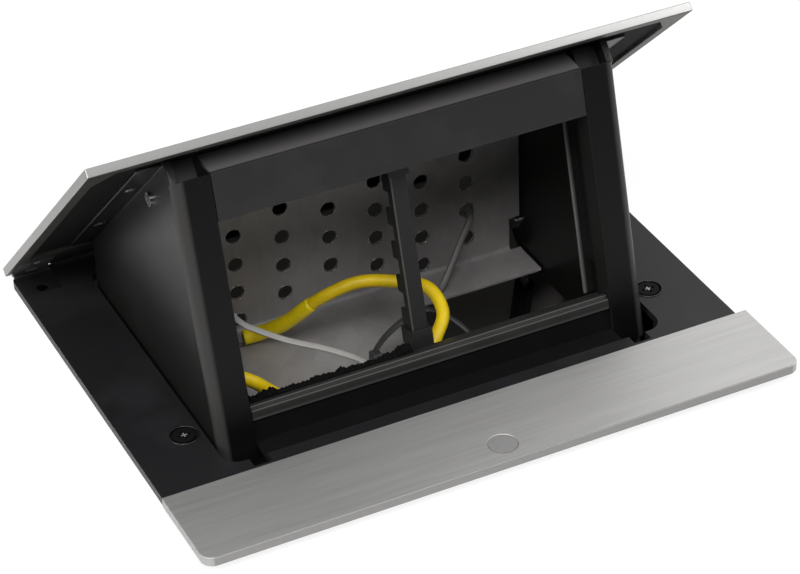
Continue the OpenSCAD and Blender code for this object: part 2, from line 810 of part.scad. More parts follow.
module mullion() color(dark_grey) face() difference() {
    translate([0, mullion_back, mullion_foot]) linear_extrude(mullion_top - mullion_foot)
        mullion_section(mullion_w / 2, mullion_d, mullion_t);
    for (k = [1 : notches])
        translate([-mullion_w / 2, mullion_back + mullion_d,
            mullion_foot + k * (mullion_top - mullion_foot) / (notches + 1)])
            cube([2 * mullion_t + eps, mullion_d, 7], center = true);
}

// A cap round one end of the mullion
module mullion_clip(from, to) {
    half = mullion_w / 2 + touch_gap + clip_wrap;
    face() difference() {
        block([-half, mullion_back - touch_gap - clip_wrap, from], [half, mullion_back + mullion_d, to]);
        block([-mullion_w / 2 - touch_gap, mullion_back - touch_gap, mullion_foot - touch_gap],
            [mullion_w / 2 + touch_gap, mullion_back + mullion_d + 1, mullion_top + touch_gap]);
    }
}

module mullion_top_clip() color(black_plastic) mullion_clip(-blank_h - clip_h, -blank_h + 1 - touch_gap);

module mullion_foot_clip() color(black_plastic)
    mullion_clip(window_foot - sill_step + touch_gap, window_foot + clip_h);

// Sill and skirt

sill_step = 1.4;
sill_d = 11;
sill_t = 2.6;

module sill() color(black_plastic) face() across(span_w) polygon([
    [0.6, sill_foot],
    [0.6, window_foot - sill_step],
    [2, window_foot - sill_step],
    [2, window_foot],
    [5, window_foot],
    [5, window_foot - sill_step],
    [sill_d, window_foot - sill_step],
    [sill_d, window_foot - sill_step - sill_t],
    [0.6 + sill_t, window_foot - sill_step - sill_t],
    [0.6 + sill_t, sill_foot]
]);

// The flange at the skirt's foot stops under the plate when the lid is up
stop_reach = 3;

module front_skirt() color(black_plastic) {
    face() block([-span_w / 2, skirt_in, -face_h], [span_w / 2, skirt_in + skirt_t, sill_foot - touch_gap]);
    upright() block([-span_w / 2, -swing_r - stop_reach, stop_top - stop_t],
        [span_w / 2, stop_back, stop_top]);
}

// Rear edge of that flange, inside the skirt's wall
stop_back = lifted(off_face([skirt_in + skirt_t / 2, stop_line]))[0];

foam_h = 2.6;
foam_d = 4;

module sill_foam() color("#161616") face()
    block([-span_w / 2 + 1, sill_d - foam_d, window_foot - sill_step + touch_gap],
        [-mullion_w / 2 - 2 * clip_wrap, sill_d, window_foot - sill_step + foam_h]);

// Side rails inside the cheeks, with fingers that the devices snap behind

rail_front = 14;
rail_back = 38;
rail_wall = 1.2;
rail_rib = 5;
finger_pitch = window_h * 2 / 7;
fingers = 3;

module side_rail() {
    top = -blank_h - 4;
    foot = window_foot + 2;
    outer = inner_x - fit_gap;
    difference() {
        face() union() {
            block([outer - rail_wall, rail_front, foot], [outer, rail_back, top]);
            block([outer - rail_rib, rail_back - rail_wall, foot], [outer, rail_back, top]);
            for (k = [0 : fingers - 1])
                translate([outer - rail_rib, rail_front, top - 14 - k * finger_pitch]) {
                    cube([rail_rib, rail_wall, 5]);
                    cube([rail_wall, 4, 5]);
                }
        }
        raised() translate([0, -side_screw[0], -side_screw[1]]) rod_x(side_screw_r + pin_gap, 0, cheek_x);
    }
}

module side_rail_right() color(black_plastic) side_rail();

module side_rail_left() color(black_plastic) mirror([1, 0, 0]) side_rail();

// Perforated tray behind the window

tray_half = inner_x - 5 * fit_gap;
tray_front = face_reach * 0.85;
tray_lip = 8;
hole_first = 6.9;

// Upright wall, bend and floor as one bent sheet, about the hinge in the raised pose
module tray_section(depth) {
    out_r = bend_r + tray_t;
    level = bar_top - bar_t / 2;
    polygon([
        [-tray_back, -tray_drop + out_r],
        [-tray_back, lid_height(tray_back, level)],
        [-tray_back + tray_t, lid_height(tray_back - tray_t, level)],
        [-tray_back + tray_t, -tray_drop + out_r]
    ]);
    rotate(-open_angle) translate([-tray_top_y - tray_t, bar_top - bar_t])
        square([tray_flange_d + tray_t, bar_t - touch_gap]);
    translate([-tray_back + tray_t - depth, -tray_drop]) square([depth - out_r, tray_t]);
    translate([-tray_back + tray_t - out_r, -tray_drop + out_r]) intersection() {
        rotate(135) difference() {
            circle(r = out_r);
            circle(r = bend_r);
        }
        translate([0, -out_r]) square(out_r);
    }
}

module cable_tray() color(zinc) difference() {
    union() {
        upright() across(2 * tray_half) tray_section(floor_d);
        upright() translate([(entry_x - tray_half) / 2, 0, 0]) across(entry_x + tray_half) {
            translate([-tray_front, -tray_drop]) square([tray_front - tray_back - floor_d / 2, tray_t]);
            translate([-tray_front, -tray_drop]) square([tray_t, tray_lip]);
        }
    }
    upright() for (i = [-3 : 3], k = [-2 : 2]) {
        odd = abs(i) % 2;
        if (k - odd > -3)
            translate([i * hole_px, 1 + tray_t - tray_back, hole_first + k * hole_pz - odd * hole_pz / 2])
                rotate([90, 0, 0]) cylinder(d = hole_d, h = tray_t + 2);
    }
    upright() block([tray_half - 5, -tray_back - 1, -tray_drop - 1], [tray_half + 1, -tray_back + 4, -11]);
    raised() for (x = tray_screw_x)
        translate([x, -tray_screw_y, bar_top - bar_t - 1])
            cylinder(r = cheek_screw_r + screw_gap, h = bar_t + 2);
    for (p = lug_places)
        translate(p) cylinder(r = lug_screw_r + pin_gap, h = 8, center = true);
}

module tray_screws() color(steel) raised()
    for (x = tray_screw_x)
        translate([x, -tray_screw_y, bar_top - bar_t]) {
            translate([0, 0, -1.4]) cylinder(r = cheek_head_r, h = 1.4 - touch_gap);
            translate([0, 0, -1]) cylinder(r = cheek_screw_r, h = 1 + bar_t + liner_t + 0.9);
        }

// Gas springs, a tube on the bracket and a rod on the cheek at each side

// Upper stud about the hinge, raised pose: in front and below
stud_b = [43.4, 16.9];
lift_stud_r = 2;
spring_len = norm([stud_b[0] - stud_y, stud_z - stud_b[1]]);
spring_turn = atan2(stud_b[0] - stud_y, stud_z - stud_b[1]);
tube_wall = 0.8;
tube_start = 5;
piston_h = 4;

module lift_studs() color(steel) upright() both_sides() translate([0, -stud_b[0], -stud_b[1]]) {
    rod_x(lift_stud_r, inner_x - 1, lift_x - eye_w / 2 - stop_gap);
    rod_x(3.2, inner_x - 1.6, inner_x - touch_gap);
}

// The line of a gas spring, from its lower stud up
module spring_line() {
    upright() translate([lift_x, -stud_y, -stud_z]) rotate([spring_turn, 0, 0]) children();
}

module eye(bore_r) {
    difference() {
        union() {
            rod_x(eye_r, -eye_w / 2, eye_w / 2);
            children();
        }
        rod_x(bore_r, -eye_w, eye_w);
    }
}

module gas_spring_tubes() color("#2b2b2d") both_sides() spring_line() difference() {
    eye(stud_r + pin_gap) {
        translate([-eye_w / 2, -eye_r + 1, 0]) cube([eye_w, 2 * eye_r - 2, tube_start + 1]);
        translate([0, 0, tube_start]) cylinder(r = tube_r, h = tube_len);
    }
    translate([0, 0, tube_start + 3]) cylinder(r = tube_r - tube_wall, h = tube_len - 6);
    translate([0, 0, tube_start + 4]) cylinder(r = rod_r + pin_gap, h = tube_len);
}

module gas_spring_rods() color(steel) both_sides() spring_line() {
    piston_top = tube_start + tube_len - 3.4;
    translate([0, 0, piston_top - piston_h]) cylinder(r = tube_r - tube_wall - pin_gap, h = piston_h);
    translate([0, 0, piston_top - eps]) cylinder(r = rod_r, h = spring_len - eye_r - piston_top + 1);
    translate([0, 0, spring_len]) eye(lift_stud_r + pin_gap)
        translate([-eye_w / 2, -2.6, -eye_r - 3]) cube([eye_w, 5.2, 4]);
}

// Release button and latch bar

button_cap_h = 2.5;
bar_z = -2.2;
latch_t = 2;
stem_foot = bar_z + 0.1;
cross_d = 9;
cross_y = stem_place;
tongue_rest = opening_front - 0.3;
spring_slot_w = 3.6;
spring_slot_l = 15;
spring_slot_y = split_y - 20;
spring_post_y = spring_slot_y - spring_slot_l / 2 + latch_travel + 1.2;
stem_tip_r = 0.6;
stem_tip_h = 1.4;

module release_button() color("#888685") translate([0, button_place, 0]) {
    translate([0, stem_back, stem_foot]) cylinder(r1 = stem_tip_r, r2 = stem_r, h = stem_tip_h);
    translate([0, stem_back, stem_foot + stem_tip_h - eps])
        cylinder(r = stem_r, h = plate_t + strip_t - stem_foot - stem_tip_h - 1);
    translate([0, 0, plate_t + strip_t - button_cap_h]) cylinder(d = button_d, h = button_cap_h);
}

module latch_bar() color(steel) {
    difference() {
        union() {
            block([-tongue_x - tongue_w / 2, cross_y - cross_d / 2, bar_z - latch_t],
                [tongue_x + tongue_w / 2, cross_y + cross_d / 2, bar_z]);
            both_sides() block([tongue_x - tongue_w / 2, cross_y, bar_z - latch_t],
                [tongue_x + tongue_w / 2, tongue_rest, bar_z]);
        }
        both_sides() translate([tongue_x, spring_slot_y, bar_z])
            cube([spring_slot_w, spring_slot_l, 3 * latch_t], center = true);
        both_sides() translate([0, tongue_rest, bar_z]) rotate([0, 90, 0])
            rotate(45) cube([1.2, 1.2, top_w], center = true);
    }
    translate([0, stem_place - stem_tip_r - 0.1, bar_z]) across(2 * stem_r) polygon([
        [0, -eps],
        [-latch_travel, button_rise - 0.1],
        [-latch_travel - 0.2, -eps]
    ]);
}

module latch_guides() color(zinc) both_sides() translate([tongue_x, guide_y, 0]) {
    inner = tongue_w / 2 + guide_gap;
    low = bar_z - latch_t - guide_gap;
    for (sx = [-1, 1]) {
        translate([sx * (inner + guide_t / 2), 0, (relief + low) / 2 - touch_gap])
            cube([guide_t, guide_d, relief - low], center = true);
        translate([sx * (inner + guide_t + 2), 0, relief - guide_t / 2 - touch_gap])
            cube([5, guide_d, guide_t], center = true);
        translate([sx * (guide_w / 2 + 2.5), 0, -guide_t]) cylinder(r = rivet_r, h = plate_t - 1 + guide_t);
    }
    translate([0, 0, low - guide_t / 2 + eps])
        cube([2 * inner + 2 * guide_t, guide_d, guide_t], center = true);
    translate([0, spring_post_y - guide_y, 0]) block([-1.2, -0.8, low], [1.2, 0.8, relief - touch_gap]);
    translate([0, 0, low - guide_t]) block([-1.2, spring_post_y - guide_y - 0.8, 0], [1.2, 0, guide_t]);
}

// Latch springs push the bar towards the module
spring_wire = 0.25;
spring_coil_r = 0.95;
spring_turns = 6;
spring_rings = 8;
spring_from = spring_post_y + 1;
spring_to = spring_slot_y + spring_slot_l / 2 - 0.1;
coil_gap = (spring_to - spring_from - 2 * spring_wire) / spring_turns - 2 * spring_wire;
echo(least_gap_between_spring_turns = coil_gap);

module latch_springs() color(steel) both_sides() {
    count = spring_turns * spring_rings;
    path = [
        for (i = [0 : count])
            let (a = 360 * i / spring_rings)
            [
                tongue_x + spring_coil_r * cos(a),
                spring_from + spring_wire + (spring_to - spring_from - 2 * spring_wire) * i / count,
                bar_z - latch_t / 2 + spring_coil_r * sin(a)
            ]
    ];
    sweep(path, ring(spring_wire, 6), [1, 0, 0], [for (p = path) 1]);
}

// Earth lead, its lugs and the cable ties, in the raised pose

tray_floor_z = hinge_z - tray_drop + tray_t;
tray_wall_y = hinge_y - tray_back;
lug_screw_r = 1.5;
lug_t = 0.8;
lug_r = 4;
lug_places = [
    [-52, tray_wall_y - 11, tray_floor_z],
    [-cheek_x + 9.5, tray_wall_y - 52.5, tray_floor_z]
];
// Chosen points of the lead, from the rear lug round behind the mullion to the front lug
lead_route = [
    [-46, 47.5, -18], [-40, 46, -17], [-31, 36, -8], [-20, 26, 6], [-5, 20, 13], [10, 14, 12],
    [19, 4, 12], [19.5, -8, 7.2], [12, -16, 1.5], [4, -21, -9], [-12, -23, -18], [-34, -22, -17],
    [-50, -14, -11], [-58, -10, -4], [-66, -10, 4], [-cheek_x + 21, -6, 6],
    [-cheek_x + 16, 2, -2], [-cheek_x + 15, 5, -12], [-cheek_x + 15.5, 6, -19.7]
];
lead_r = 2.7;
crimp_r = 3.3;
lead_steps = 3;
crimp_rings = 10;

module earth_lead() color("#d8b417") {
    path = smooth(lead_route, lead_steps);
    scales = [for (i = [0 : len(path) - 1]) i < crimp_rings ? crimp_r / lead_r : 1];
    sweep(path, ring(lead_r, 8), [0, 0, 1], scales);
}

module earth_lugs() color(steel) for (p = lug_places)
    translate([p[0], p[1], p[2] + touch_gap]) difference() {
        union() {
            cylinder(r = lug_r, h = lug_t);
            translate([0, -1.6, 0]) cube([6.2, 3.2, lug_t]);
        }
        translate([0, 0, -1]) cylinder(r = lug_screw_r + pin_gap, h = 3);
    }

module earth_screws() color(steel) for (p = lug_places)
    translate(p) {
        translate([0, 0, -tray_t - 1.5]) cylinder(r = lug_screw_r, h = tray_t + 1.5 + lug_t + 1);
        translate([0, 0, lug_t + 2 * touch_gap]) cylinder(r = 2.9, h = 1.9);
    }

tie_section = [[-1.4, -0.6], [1.4, -0.6], [1.4, 0.6], [-1.4, 0.6]];
tie_steps = 3;
// Chosen points of the ties, from a hole in the tray's wall forwards
tie_left_route = [
    [-64.5, 63, 18], [-64.5, 50, 19], [-64, 28, 20], [-61.5, 10, 18.6], [-54.8, 4, 15.2],
    [-46.3, -4, 12.9], [-32.7, -12, 8.9], [-20, -16.2, 1.2], [-14, -18, -8]
];
tie_right_route = [[64.5, 63, 4], [64.5, 55, 3], [57, 50, -5], [46, 43, -16.5], [40, 40, -20.5]];
// Chosen points of the loose tie that arches behind the mullion
loop_route = [
    [-2.5, 11, -17.5], [-2, 10.5, -15], [1.5, 7.5, -7.5], [9.5, 6, -1.2], [18, 6, 0.4], [26.5, 4, -4],
    [33, -3, -10], [35, -6, -17], [35.5, -7, -24]
];

// The head of a tie behind the tray's wall
module tie(route) {
    path = smooth(route, tie_steps);
    sweep(path, tie_section, [1, 0, 0], [for (p = path) 1]);
    translate([route[0][0], tray_wall_y + tray_t + 2.3, route[0][2]]) cube([5.4, 4.4, 7.6], center = true);
}

module cable_tie_left() color("#e6e4df") tie(tie_left_route);

module cable_tie_right() color("#e6e4df") tie(tie_right_route);

// Its head stands on the tray's floor
module cable_tie_loop() color("#8d8d8c") {
    path = smooth(loop_route, tie_steps);
    sweep(path, tie_section, [0, 1, 0], [for (p = path) 1]);
    translate([loop_route[0][0], loop_route[0][1], tray_floor_z + touch_gap + 2.5])
        cube([4.4, 5.4, 5], center = true);
}

frame_plate();
front_strip();
strip_screws();
spring_bracket_left();
spring_bracket_right();
bracket_screws();
bracket_studs();
clamp_screws();
frame_leaves();
frame_leaf_screws();
hinge_pins();
latch_guides();
latch_springs();
lid_plate();
lid_liner();
lid_leaves();
lid_leaf_screws();
cheek_left();
cheek_right();
cheek_screws();
cheek_side_screws();
keeper_left();
keeper_right();
blank_plate();
header_rail();
mullion();
mullion_top_clip();
mullion_foot_clip();
sill();
front_skirt();
sill_foam();
side_rail_left();
side_rail_right();
cable_tray();
tray_screws();
lift_studs();
earth_lugs();
earth_screws();
earth_lead();
cable_tie_left();
cable_tie_right();
cable_tie_loop();
release_button();
latch_bar();
gas_spring_tubes();
gas_spring_rods();
clamp_claw_left();
clamp_claw_right();
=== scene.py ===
"""Looks of the tilt-up desk socket box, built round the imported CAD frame."""
import json
import logging
import math
import random
from dataclasses import dataclass
from enum import Enum
from typing import Any, Callable, Sequence

import bmesh
import bpy
from mathutils import Matrix, Vector

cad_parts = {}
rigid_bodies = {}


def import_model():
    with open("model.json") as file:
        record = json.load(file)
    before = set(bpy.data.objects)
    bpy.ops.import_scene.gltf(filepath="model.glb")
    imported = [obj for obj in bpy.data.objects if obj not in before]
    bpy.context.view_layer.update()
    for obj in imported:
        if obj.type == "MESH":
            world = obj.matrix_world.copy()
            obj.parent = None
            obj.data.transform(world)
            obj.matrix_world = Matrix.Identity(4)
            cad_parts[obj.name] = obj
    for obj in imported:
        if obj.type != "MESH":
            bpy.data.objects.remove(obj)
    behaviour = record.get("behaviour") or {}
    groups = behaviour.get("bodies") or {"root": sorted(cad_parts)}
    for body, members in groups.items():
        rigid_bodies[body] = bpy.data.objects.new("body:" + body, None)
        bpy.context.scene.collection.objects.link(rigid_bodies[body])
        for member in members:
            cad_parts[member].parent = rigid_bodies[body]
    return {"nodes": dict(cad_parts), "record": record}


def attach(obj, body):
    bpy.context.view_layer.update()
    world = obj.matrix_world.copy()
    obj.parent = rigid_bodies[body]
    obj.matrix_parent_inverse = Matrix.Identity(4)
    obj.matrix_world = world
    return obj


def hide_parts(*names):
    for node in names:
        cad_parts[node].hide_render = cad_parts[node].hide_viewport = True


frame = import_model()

LOG = logging.getLogger("desk_socket")
MM = 0.001
WELD = 0.002 * MM
SLIVER = 0.05 * MM
FLAT = math.radians(0.4)
SHARP = math.radians(35.0)
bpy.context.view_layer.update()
Point = tuple[float, float, float]
Tone = tuple[float, float, float]
Outline = list[tuple[float, float]]
Spot = tuple[Point, Point]


class Body(Enum):
    """The moving groups that added pieces ride on."""

    FRAME = "frame"
    MODULE = "tilt_module"


class Side(Enum):
    """The two mirrored sides of the box."""

    LEFT = -1
    RIGHT = 1

    @property
    def word(self) -> str:
        """The side as the names of nodes and pieces have it."""
        return self.name.lower()


# Shader maths


class Val:
    """A shader socket that takes part in Python arithmetic."""

    def __init__(self, shader: "Shader", socket: bpy.types.NodeSocket) -> None:
        """Keep the socket and the shader whose tree it is in."""
        self.shader = shader
        self.socket = socket

    def _math(self, operation: str, a: "Val | float", b: "Val | float" = 0.0) -> "Val":
        """Add one Math node.

        Args:
            operation: Name of the Math node's operation.
            a: First value.
            b: Second value.

        Returns:
            The result as a value.
        """
        node = self.shader.make("ShaderNodeMath", {"operation": operation}, {0: a, 1: b})
        return Val(self.shader, node.outputs[0])

    def __add__(self, other: "Val | float") -> "Val":
        """Sum."""
        return self._math("ADD", self, other)

    __radd__ = __add__

    def __sub__(self, other: "Val | float") -> "Val":
        """Difference."""
        return self._math("SUBTRACT", self, other)

    def __rsub__(self, other: "Val | float") -> "Val":
        """Difference from a number."""
        return self._math("SUBTRACT", other, self)

    def __mul__(self, other: "Val | float") -> "Val":
        """Product."""
        return self._math("MULTIPLY", self, other)

    __rmul__ = __mul__

    def __truediv__(self, other: "Val | float") -> "Val":
        """Quotient."""
        return self._math("DIVIDE", self, other)

    def __rtruediv__(self, other: "Val | float") -> "Val":
        """Quotient of a number."""
        return self._math("DIVIDE", other, self)

    def root(self) -> "Val":
        """Square root."""
        return self._math("SQRT", self)

    def sine(self) -> "Val":
        """Sine of an angle in radians."""
        return self._math("SINE", self)

    def ramp(self, low: float, high: float) -> "Val":
        """Rise from 0 at low to 1 at high.

        Args:
            low: Value that gives 0.
            high: Value that gives 1.

        Returns:
            The clamped ramp.
        """
        return self._math("MINIMUM", self._math("MAXIMUM", (self - low) / (high - low), 0.0), 1.0)


@dataclass(frozen=True)
class Facing:
    """A flat side of a piece: all that lies beyond a level along a direction.

    Attributes:
        normal: The direction out of the side.
        level: Its distance from the origin in metres.
        tone: Its colour.
        soft: Width in metres over which the tone sets in.
        rough: Its roughness, where that differs too.
        within: Other sides that it has to lie on as well.
        inset: How far short of the level the tone is full, in metres.
    """

    normal: Point
    level: float
    tone: Tone
    soft: float = 0.2 * MM
    rough: float | None = None
    within: tuple["Facing", ...] = ()
    inset: float = 0.1 * MM


class Shader:
    """One material's node tree, with the single method that adds nodes to it."""

    def __init__(self, owner: bpy.types.Material | bpy.types.World) -> None:
        """Start a tree with its first surface or background node.

        Args:
            owner: The new material or world.
        """
        owner.use_nodes = True
        self.owner = owner
        self.tree = owner.node_tree
        self.surface = next(n for n in self.tree.nodes if n.type in ("BSDF_PRINCIPLED", "BACKGROUND"))
        self._coords: bpy.types.Node | None = None

    @classmethod
    def material(cls, name: str) -> "Shader":
        """Start a material.

        Args:
            name: The material's name.

        Returns:
            Its shader.
        """
        return cls(bpy.data.materials.new(name))

    def feed(self, socket: bpy.types.NodeSocket, value: Any) -> None:
        """Link a value into a socket, or set the socket's own number.

        Args:
            socket: The input.
            value: A Val, a socket, a number, a colour or a vector.
        """
        if isinstance(value, Val):
            self.tree.links.new(value.socket, socket)
        elif isinstance(value, bpy.types.NodeSocket):
            self.tree.links.new(value, socket)
        elif socket.type == "RGBA" and len(value) == 3:
            socket.default_value = (*value, 1.0)
        else:
            socket.default_value = value

    def make(self, kind: str, settings: dict[str, Any], sockets: dict[str | int, Any]) -> bpy.types.Node:
        """Add a node of any kind.

        Args:
            kind: The node's type.
            settings: Properties, set first.
            sockets: Values or links of its inputs, by identifier, name or index.

        Returns:
            The node.
        """
        node = self.tree.nodes.new(kind)
        for key, value in settings.items():
            setattr(node, key, value)
        for key, value in sockets.items():
            found = [s for s in node.inputs if s.identifier == key] if isinstance(key, str) else []
            self.feed(found[0] if found else node.inputs[key], value)
        return node

    def place(self, scale: Point = (1.0, 1.0, 1.0), offset: Point = (0.0, 0.0, 0.0)
              ) -> bpy.types.NodeSocket:
        """Object coordinates, moved and stretched.

        Args:
            scale: Factors along X, Y and Z.
            offset: Point that becomes the pattern's middle.

        Returns:
            The vector socket.
        """
        if self._coords is None:
            self._coords = self.make("ShaderNodeTexCoord", {}, {})
        moved = self.make("ShaderNodeVectorMath", {"operation": "SUBTRACT"},
                          {0: self._coords.outputs["Object"], 1: offset})
        return self.make("ShaderNodeMapping", {"vector_type": "POINT"},
                         {"Vector": moved.outputs[0], "Scale": scale}).outputs["Vector"]

    def split(self, vector: bpy.types.NodeSocket) -> list[Val]:
        """The three numbers of a vector."""
        parts = self.make("ShaderNodeSeparateXYZ", {}, {0: vector})
        return [Val(self, out) for out in parts.outputs]

    def radius(self, middle: Point = (0.0, 0.0, 0.0)) -> Val:
        """Distance from an upright axis.

        Args:
            middle: A point of the axis in metres.

        Returns:
            The distance in metres.
        """
        x, y, _ = self.split(self.place(offset=middle))
        return (x * x + y * y).root()

    def noise(self, scale: Point | float, detail: float = 2.0, rough: float = 0.5) -> Val:
        """Noise, even or stretched along the axes.

        Args:
            scale: Features per metre, all round or along X, Y and Z.
            detail: Octaves.
            rough: Weight of the finer octaves.

        Returns:
            The noise, about 0.5.
        """
        spread = scale if isinstance(scale, tuple) else (scale, scale, scale)
        node = self.make("ShaderNodeTexNoise", {}, {
            "Vector": self.place(spread), "Scale": 1.0, "Detail": detail, "Roughness": rough})
        return Val(self, node.outputs[0])

    def cells(self, scale: float) -> Val:
        """Random tone per Voronoi cell.

        Args:
            scale: Cells per metre.

        Returns:
            One number per cell, 0 to 1.
        """
        node = self.make("ShaderNodeTexVoronoi", {}, {"Vector": self.place(), "Scale": scale})
        parts = self.make("ShaderNodeSeparateColor", {}, {"Color": node.outputs["Color"]})
        return Val(self, parts.outputs[0])

    def blend(self, factor: Val, a: Any, b: Any) -> bpy.types.NodeSocket:
        """Mix two colours.

        Args:
            factor: 0 for a, 1 for b.
            a: First colour.
            b: Second colour.

        Returns:
            The colour socket.
        """
        node = self.make("ShaderNodeMix", {"data_type": "RGBA"}, {
            "Factor_Float": factor, "A_Color": a, "B_Color": b})
        return next(s for s in node.outputs if s.identifier == "Result_Color")

    def reach(self, side: Facing) -> Val:
        """Share of a flat side at each point.

        Args:
            side: The side.

        Returns:
            1 on the side and 0 off it.
        """
        along = self.make(
            "ShaderNodeVectorMath", {"operation": "DOT_PRODUCT"}, {0: self.place(), 1: side.normal})
        share = Val(self, along.outputs["Value"]).ramp(
            side.level - side.soft - side.inset, side.level - side.inset)
        for other in side.within:
            share = share * self.reach(other)
        return share

    def smoothed(self, rough: Val, sides: tuple[Facing, ...]) -> Val:
        """Give the flat sides of a piece their own roughness.

        Args:
            rough: Roughness of the rest of the piece.
            sides: The sides, of which some have a roughness.

        Returns:
            The roughness with that of the sides laid over it.
        """
        for side in sides:
            if side.rough is not None:
                near = self.reach(side)
                rough = rough * (1.0 - near) + near * side.rough
        return rough

    def faced(self, colour: Any, sides: tuple[Facing, ...]) -> Any:
        """Give the flat sides of a piece their own tone.

        Args:
            colour: Colour of the rest of the piece.
            sides: The sides to tone.

        Returns:
            The colour with the sides laid over it.
        """
        for side in sides:
            colour = self.blend(self.reach(side), colour, side.tone)
        return colour

    def bump(self, height: Val, strength: float, depth: float) -> bpy.types.NodeSocket:
        """A bumped normal.

        Args:
            height: The height pattern.
            strength: Strength of the bump.
            depth: Height of the pattern in metres.

        Returns:
            The normal socket.
        """
        node = self.make("ShaderNodeBump", {}, {"Strength": strength, "Distance": depth, "Height": height})
        return node.outputs["Normal"]

    def finish(self, **sockets: Any) -> bpy.types.Material:
        """Feed the surface and hand the material over.

        Args:
            **sockets: Principled inputs, with underscores for spaces.

        Returns:
            The material.
        """
        for key, value in sockets.items():
            self.feed(self.surface.inputs[key.replace("_", " ")], value)
        return self.owner


# Finishes: dark and light multiply the tone, uneven varies the roughness, relief and depth set the bump


def scaled(tone: Tone, factor: float) -> Tone:
    """A tone made darker or lighter."""
    return tuple(factor * c for c in tone)


@dataclass(frozen=True)
class BrushedAluminium:
    """Anodised aluminium brushed along the box's width.

    Attributes:
        sides: Flat sides with a plain tone of their own, laid on as painted shade.
        shades: Stretches of the brushed skin with another tone, laid on as painted shade.
        scratches: Fine scratches per metre along X, Y and Z.
        bands: Broad streaks per metre along X, Y and Z.
        fine: Share of the scratches in the streaks.
        dark: Factor of the darkest streaks.
        light: Factor of the lightest streaks.
        uneven: How far the roughness follows the streaks.
    """

    name: str
    tone: Tone = (0.62, 0.615, 0.605)
    roughness: float = 0.48
    metallic: float = 0.84
    sides: tuple[Facing, ...] = ()
    shades: tuple[Facing, ...] = ()
    scratches: Point = (40.0, 3000.0, 3000.0)
    bands: Point = (14.0, 500.0, 500.0)
    fine: float = 0.65
    dark: float = 0.88
    light: float = 1.08
    uneven: float = 0.14
    relief: float = 0.2
    depth: float = 0.04 * MM

    def make(self) -> bpy.types.Material:
        """Build the material."""
        s = Shader.material(self.name)
        fine = s.noise(self.scratches, 3.0, 0.6)
        streak = fine * self.fine + s.noise(self.bands) * (1.0 - self.fine)

        def brushed(tone: Tone) -> bpy.types.NodeSocket:
            """Streaks about a tone."""
            return s.blend(streak.ramp(0.3, 0.7), scaled(tone, self.dark), scaled(tone, self.light))

        skin = brushed(self.tone)
        # Painted shade: each stretch darkens the skin and keeps its streaks
        for side in self.shades:
            skin = s.blend(s.reach(side), skin, brushed(side.tone))
        return s.finish(
            Base_Color=s.faced(skin, self.sides),
            Metallic=self.metallic,
            Roughness=s.smoothed(self.roughness + (streak - 0.5) * self.uneven, self.sides),
            Normal=s.bump(fine, self.relief, self.depth))


@dataclass(frozen=True)
class TurnedDisc:
    """Satin metal turned round one upright axis.

    Attributes:
        middle: A point of the axis in metres.
        rings: Radians of the turning marks per metre of radius.
        mottle: Mottled spots per metre.
        turned: Share of the turning marks in the shading.
    """

    name: str
    middle: Point
    tone: Tone = (0.45, 0.44, 0.44)
    roughness: float = 0.42
    metallic: float = 0.78
    rings: float = 9000.0
    mottle: float = 700.0
    turned: float = 0.35
    dark: float = 0.86
    light: float = 1.12
    uneven: float = 0.12
    relief: float = 0.12
    depth: float = 0.02 * MM

    def make(self) -> bpy.types.Material:
        """Build the material."""
        s = Shader.material(self.name)
        rings = (s.radius(self.middle) * self.rings).sine() * 0.5 + 0.5
        shade = rings * self.turned + s.noise(self.mottle) * (1.0 - self.turned)
        return s.finish(
            Base_Color=s.blend(shade, scaled(self.tone, self.dark), scaled(self.tone, self.light)),
            Metallic=self.metallic,
            Roughness=self.roughness + shade * self.uneven,
            Normal=s.bump(rings, self.relief, self.depth))


@dataclass(frozen=True)
class BlackPaint:
    """Semi-gloss black powder coat with a faint orange peel and rubbed spots.

    Attributes:
        peel: Strength of the orange peel.
        sides: Flat sides with a tone of their own.
        pits: Pits of the orange peel per metre.
        spots: Rubbed spots per metre.
        light: Factor of the rubbed tone.
        dulled: Roughness that rubbing adds.
    """

    name: str
    tone: Tone = (0.011, 0.011, 0.012)
    roughness: float = 0.36
    peel: float = 0.10
    gloss: float = 0.3
    sides: tuple[Facing, ...] = ()
    pits: float = 620.0
    spots: float = 22.0
    light: float = 1.9
    dulled: float = 0.10
    uneven: float = 0.06
    depth: float = 0.06 * MM

    def make(self) -> bpy.types.Material:
        """Build the material."""
        s = Shader.material(self.name)
        peel = s.noise(self.pits)
        rubbed = s.noise(self.spots, 4.0, 0.6).ramp(0.52, 0.8)
        paint = s.blend(rubbed, self.tone, scaled(self.tone, self.light))
        return s.finish(
            Base_Color=s.faced(paint, self.sides),
            Roughness=self.roughness + rubbed * self.dulled + (peel - 0.5) * self.uneven,
            Specular_IOR_Level=self.gloss,
            Normal=s.bump(peel, self.peel, self.depth))


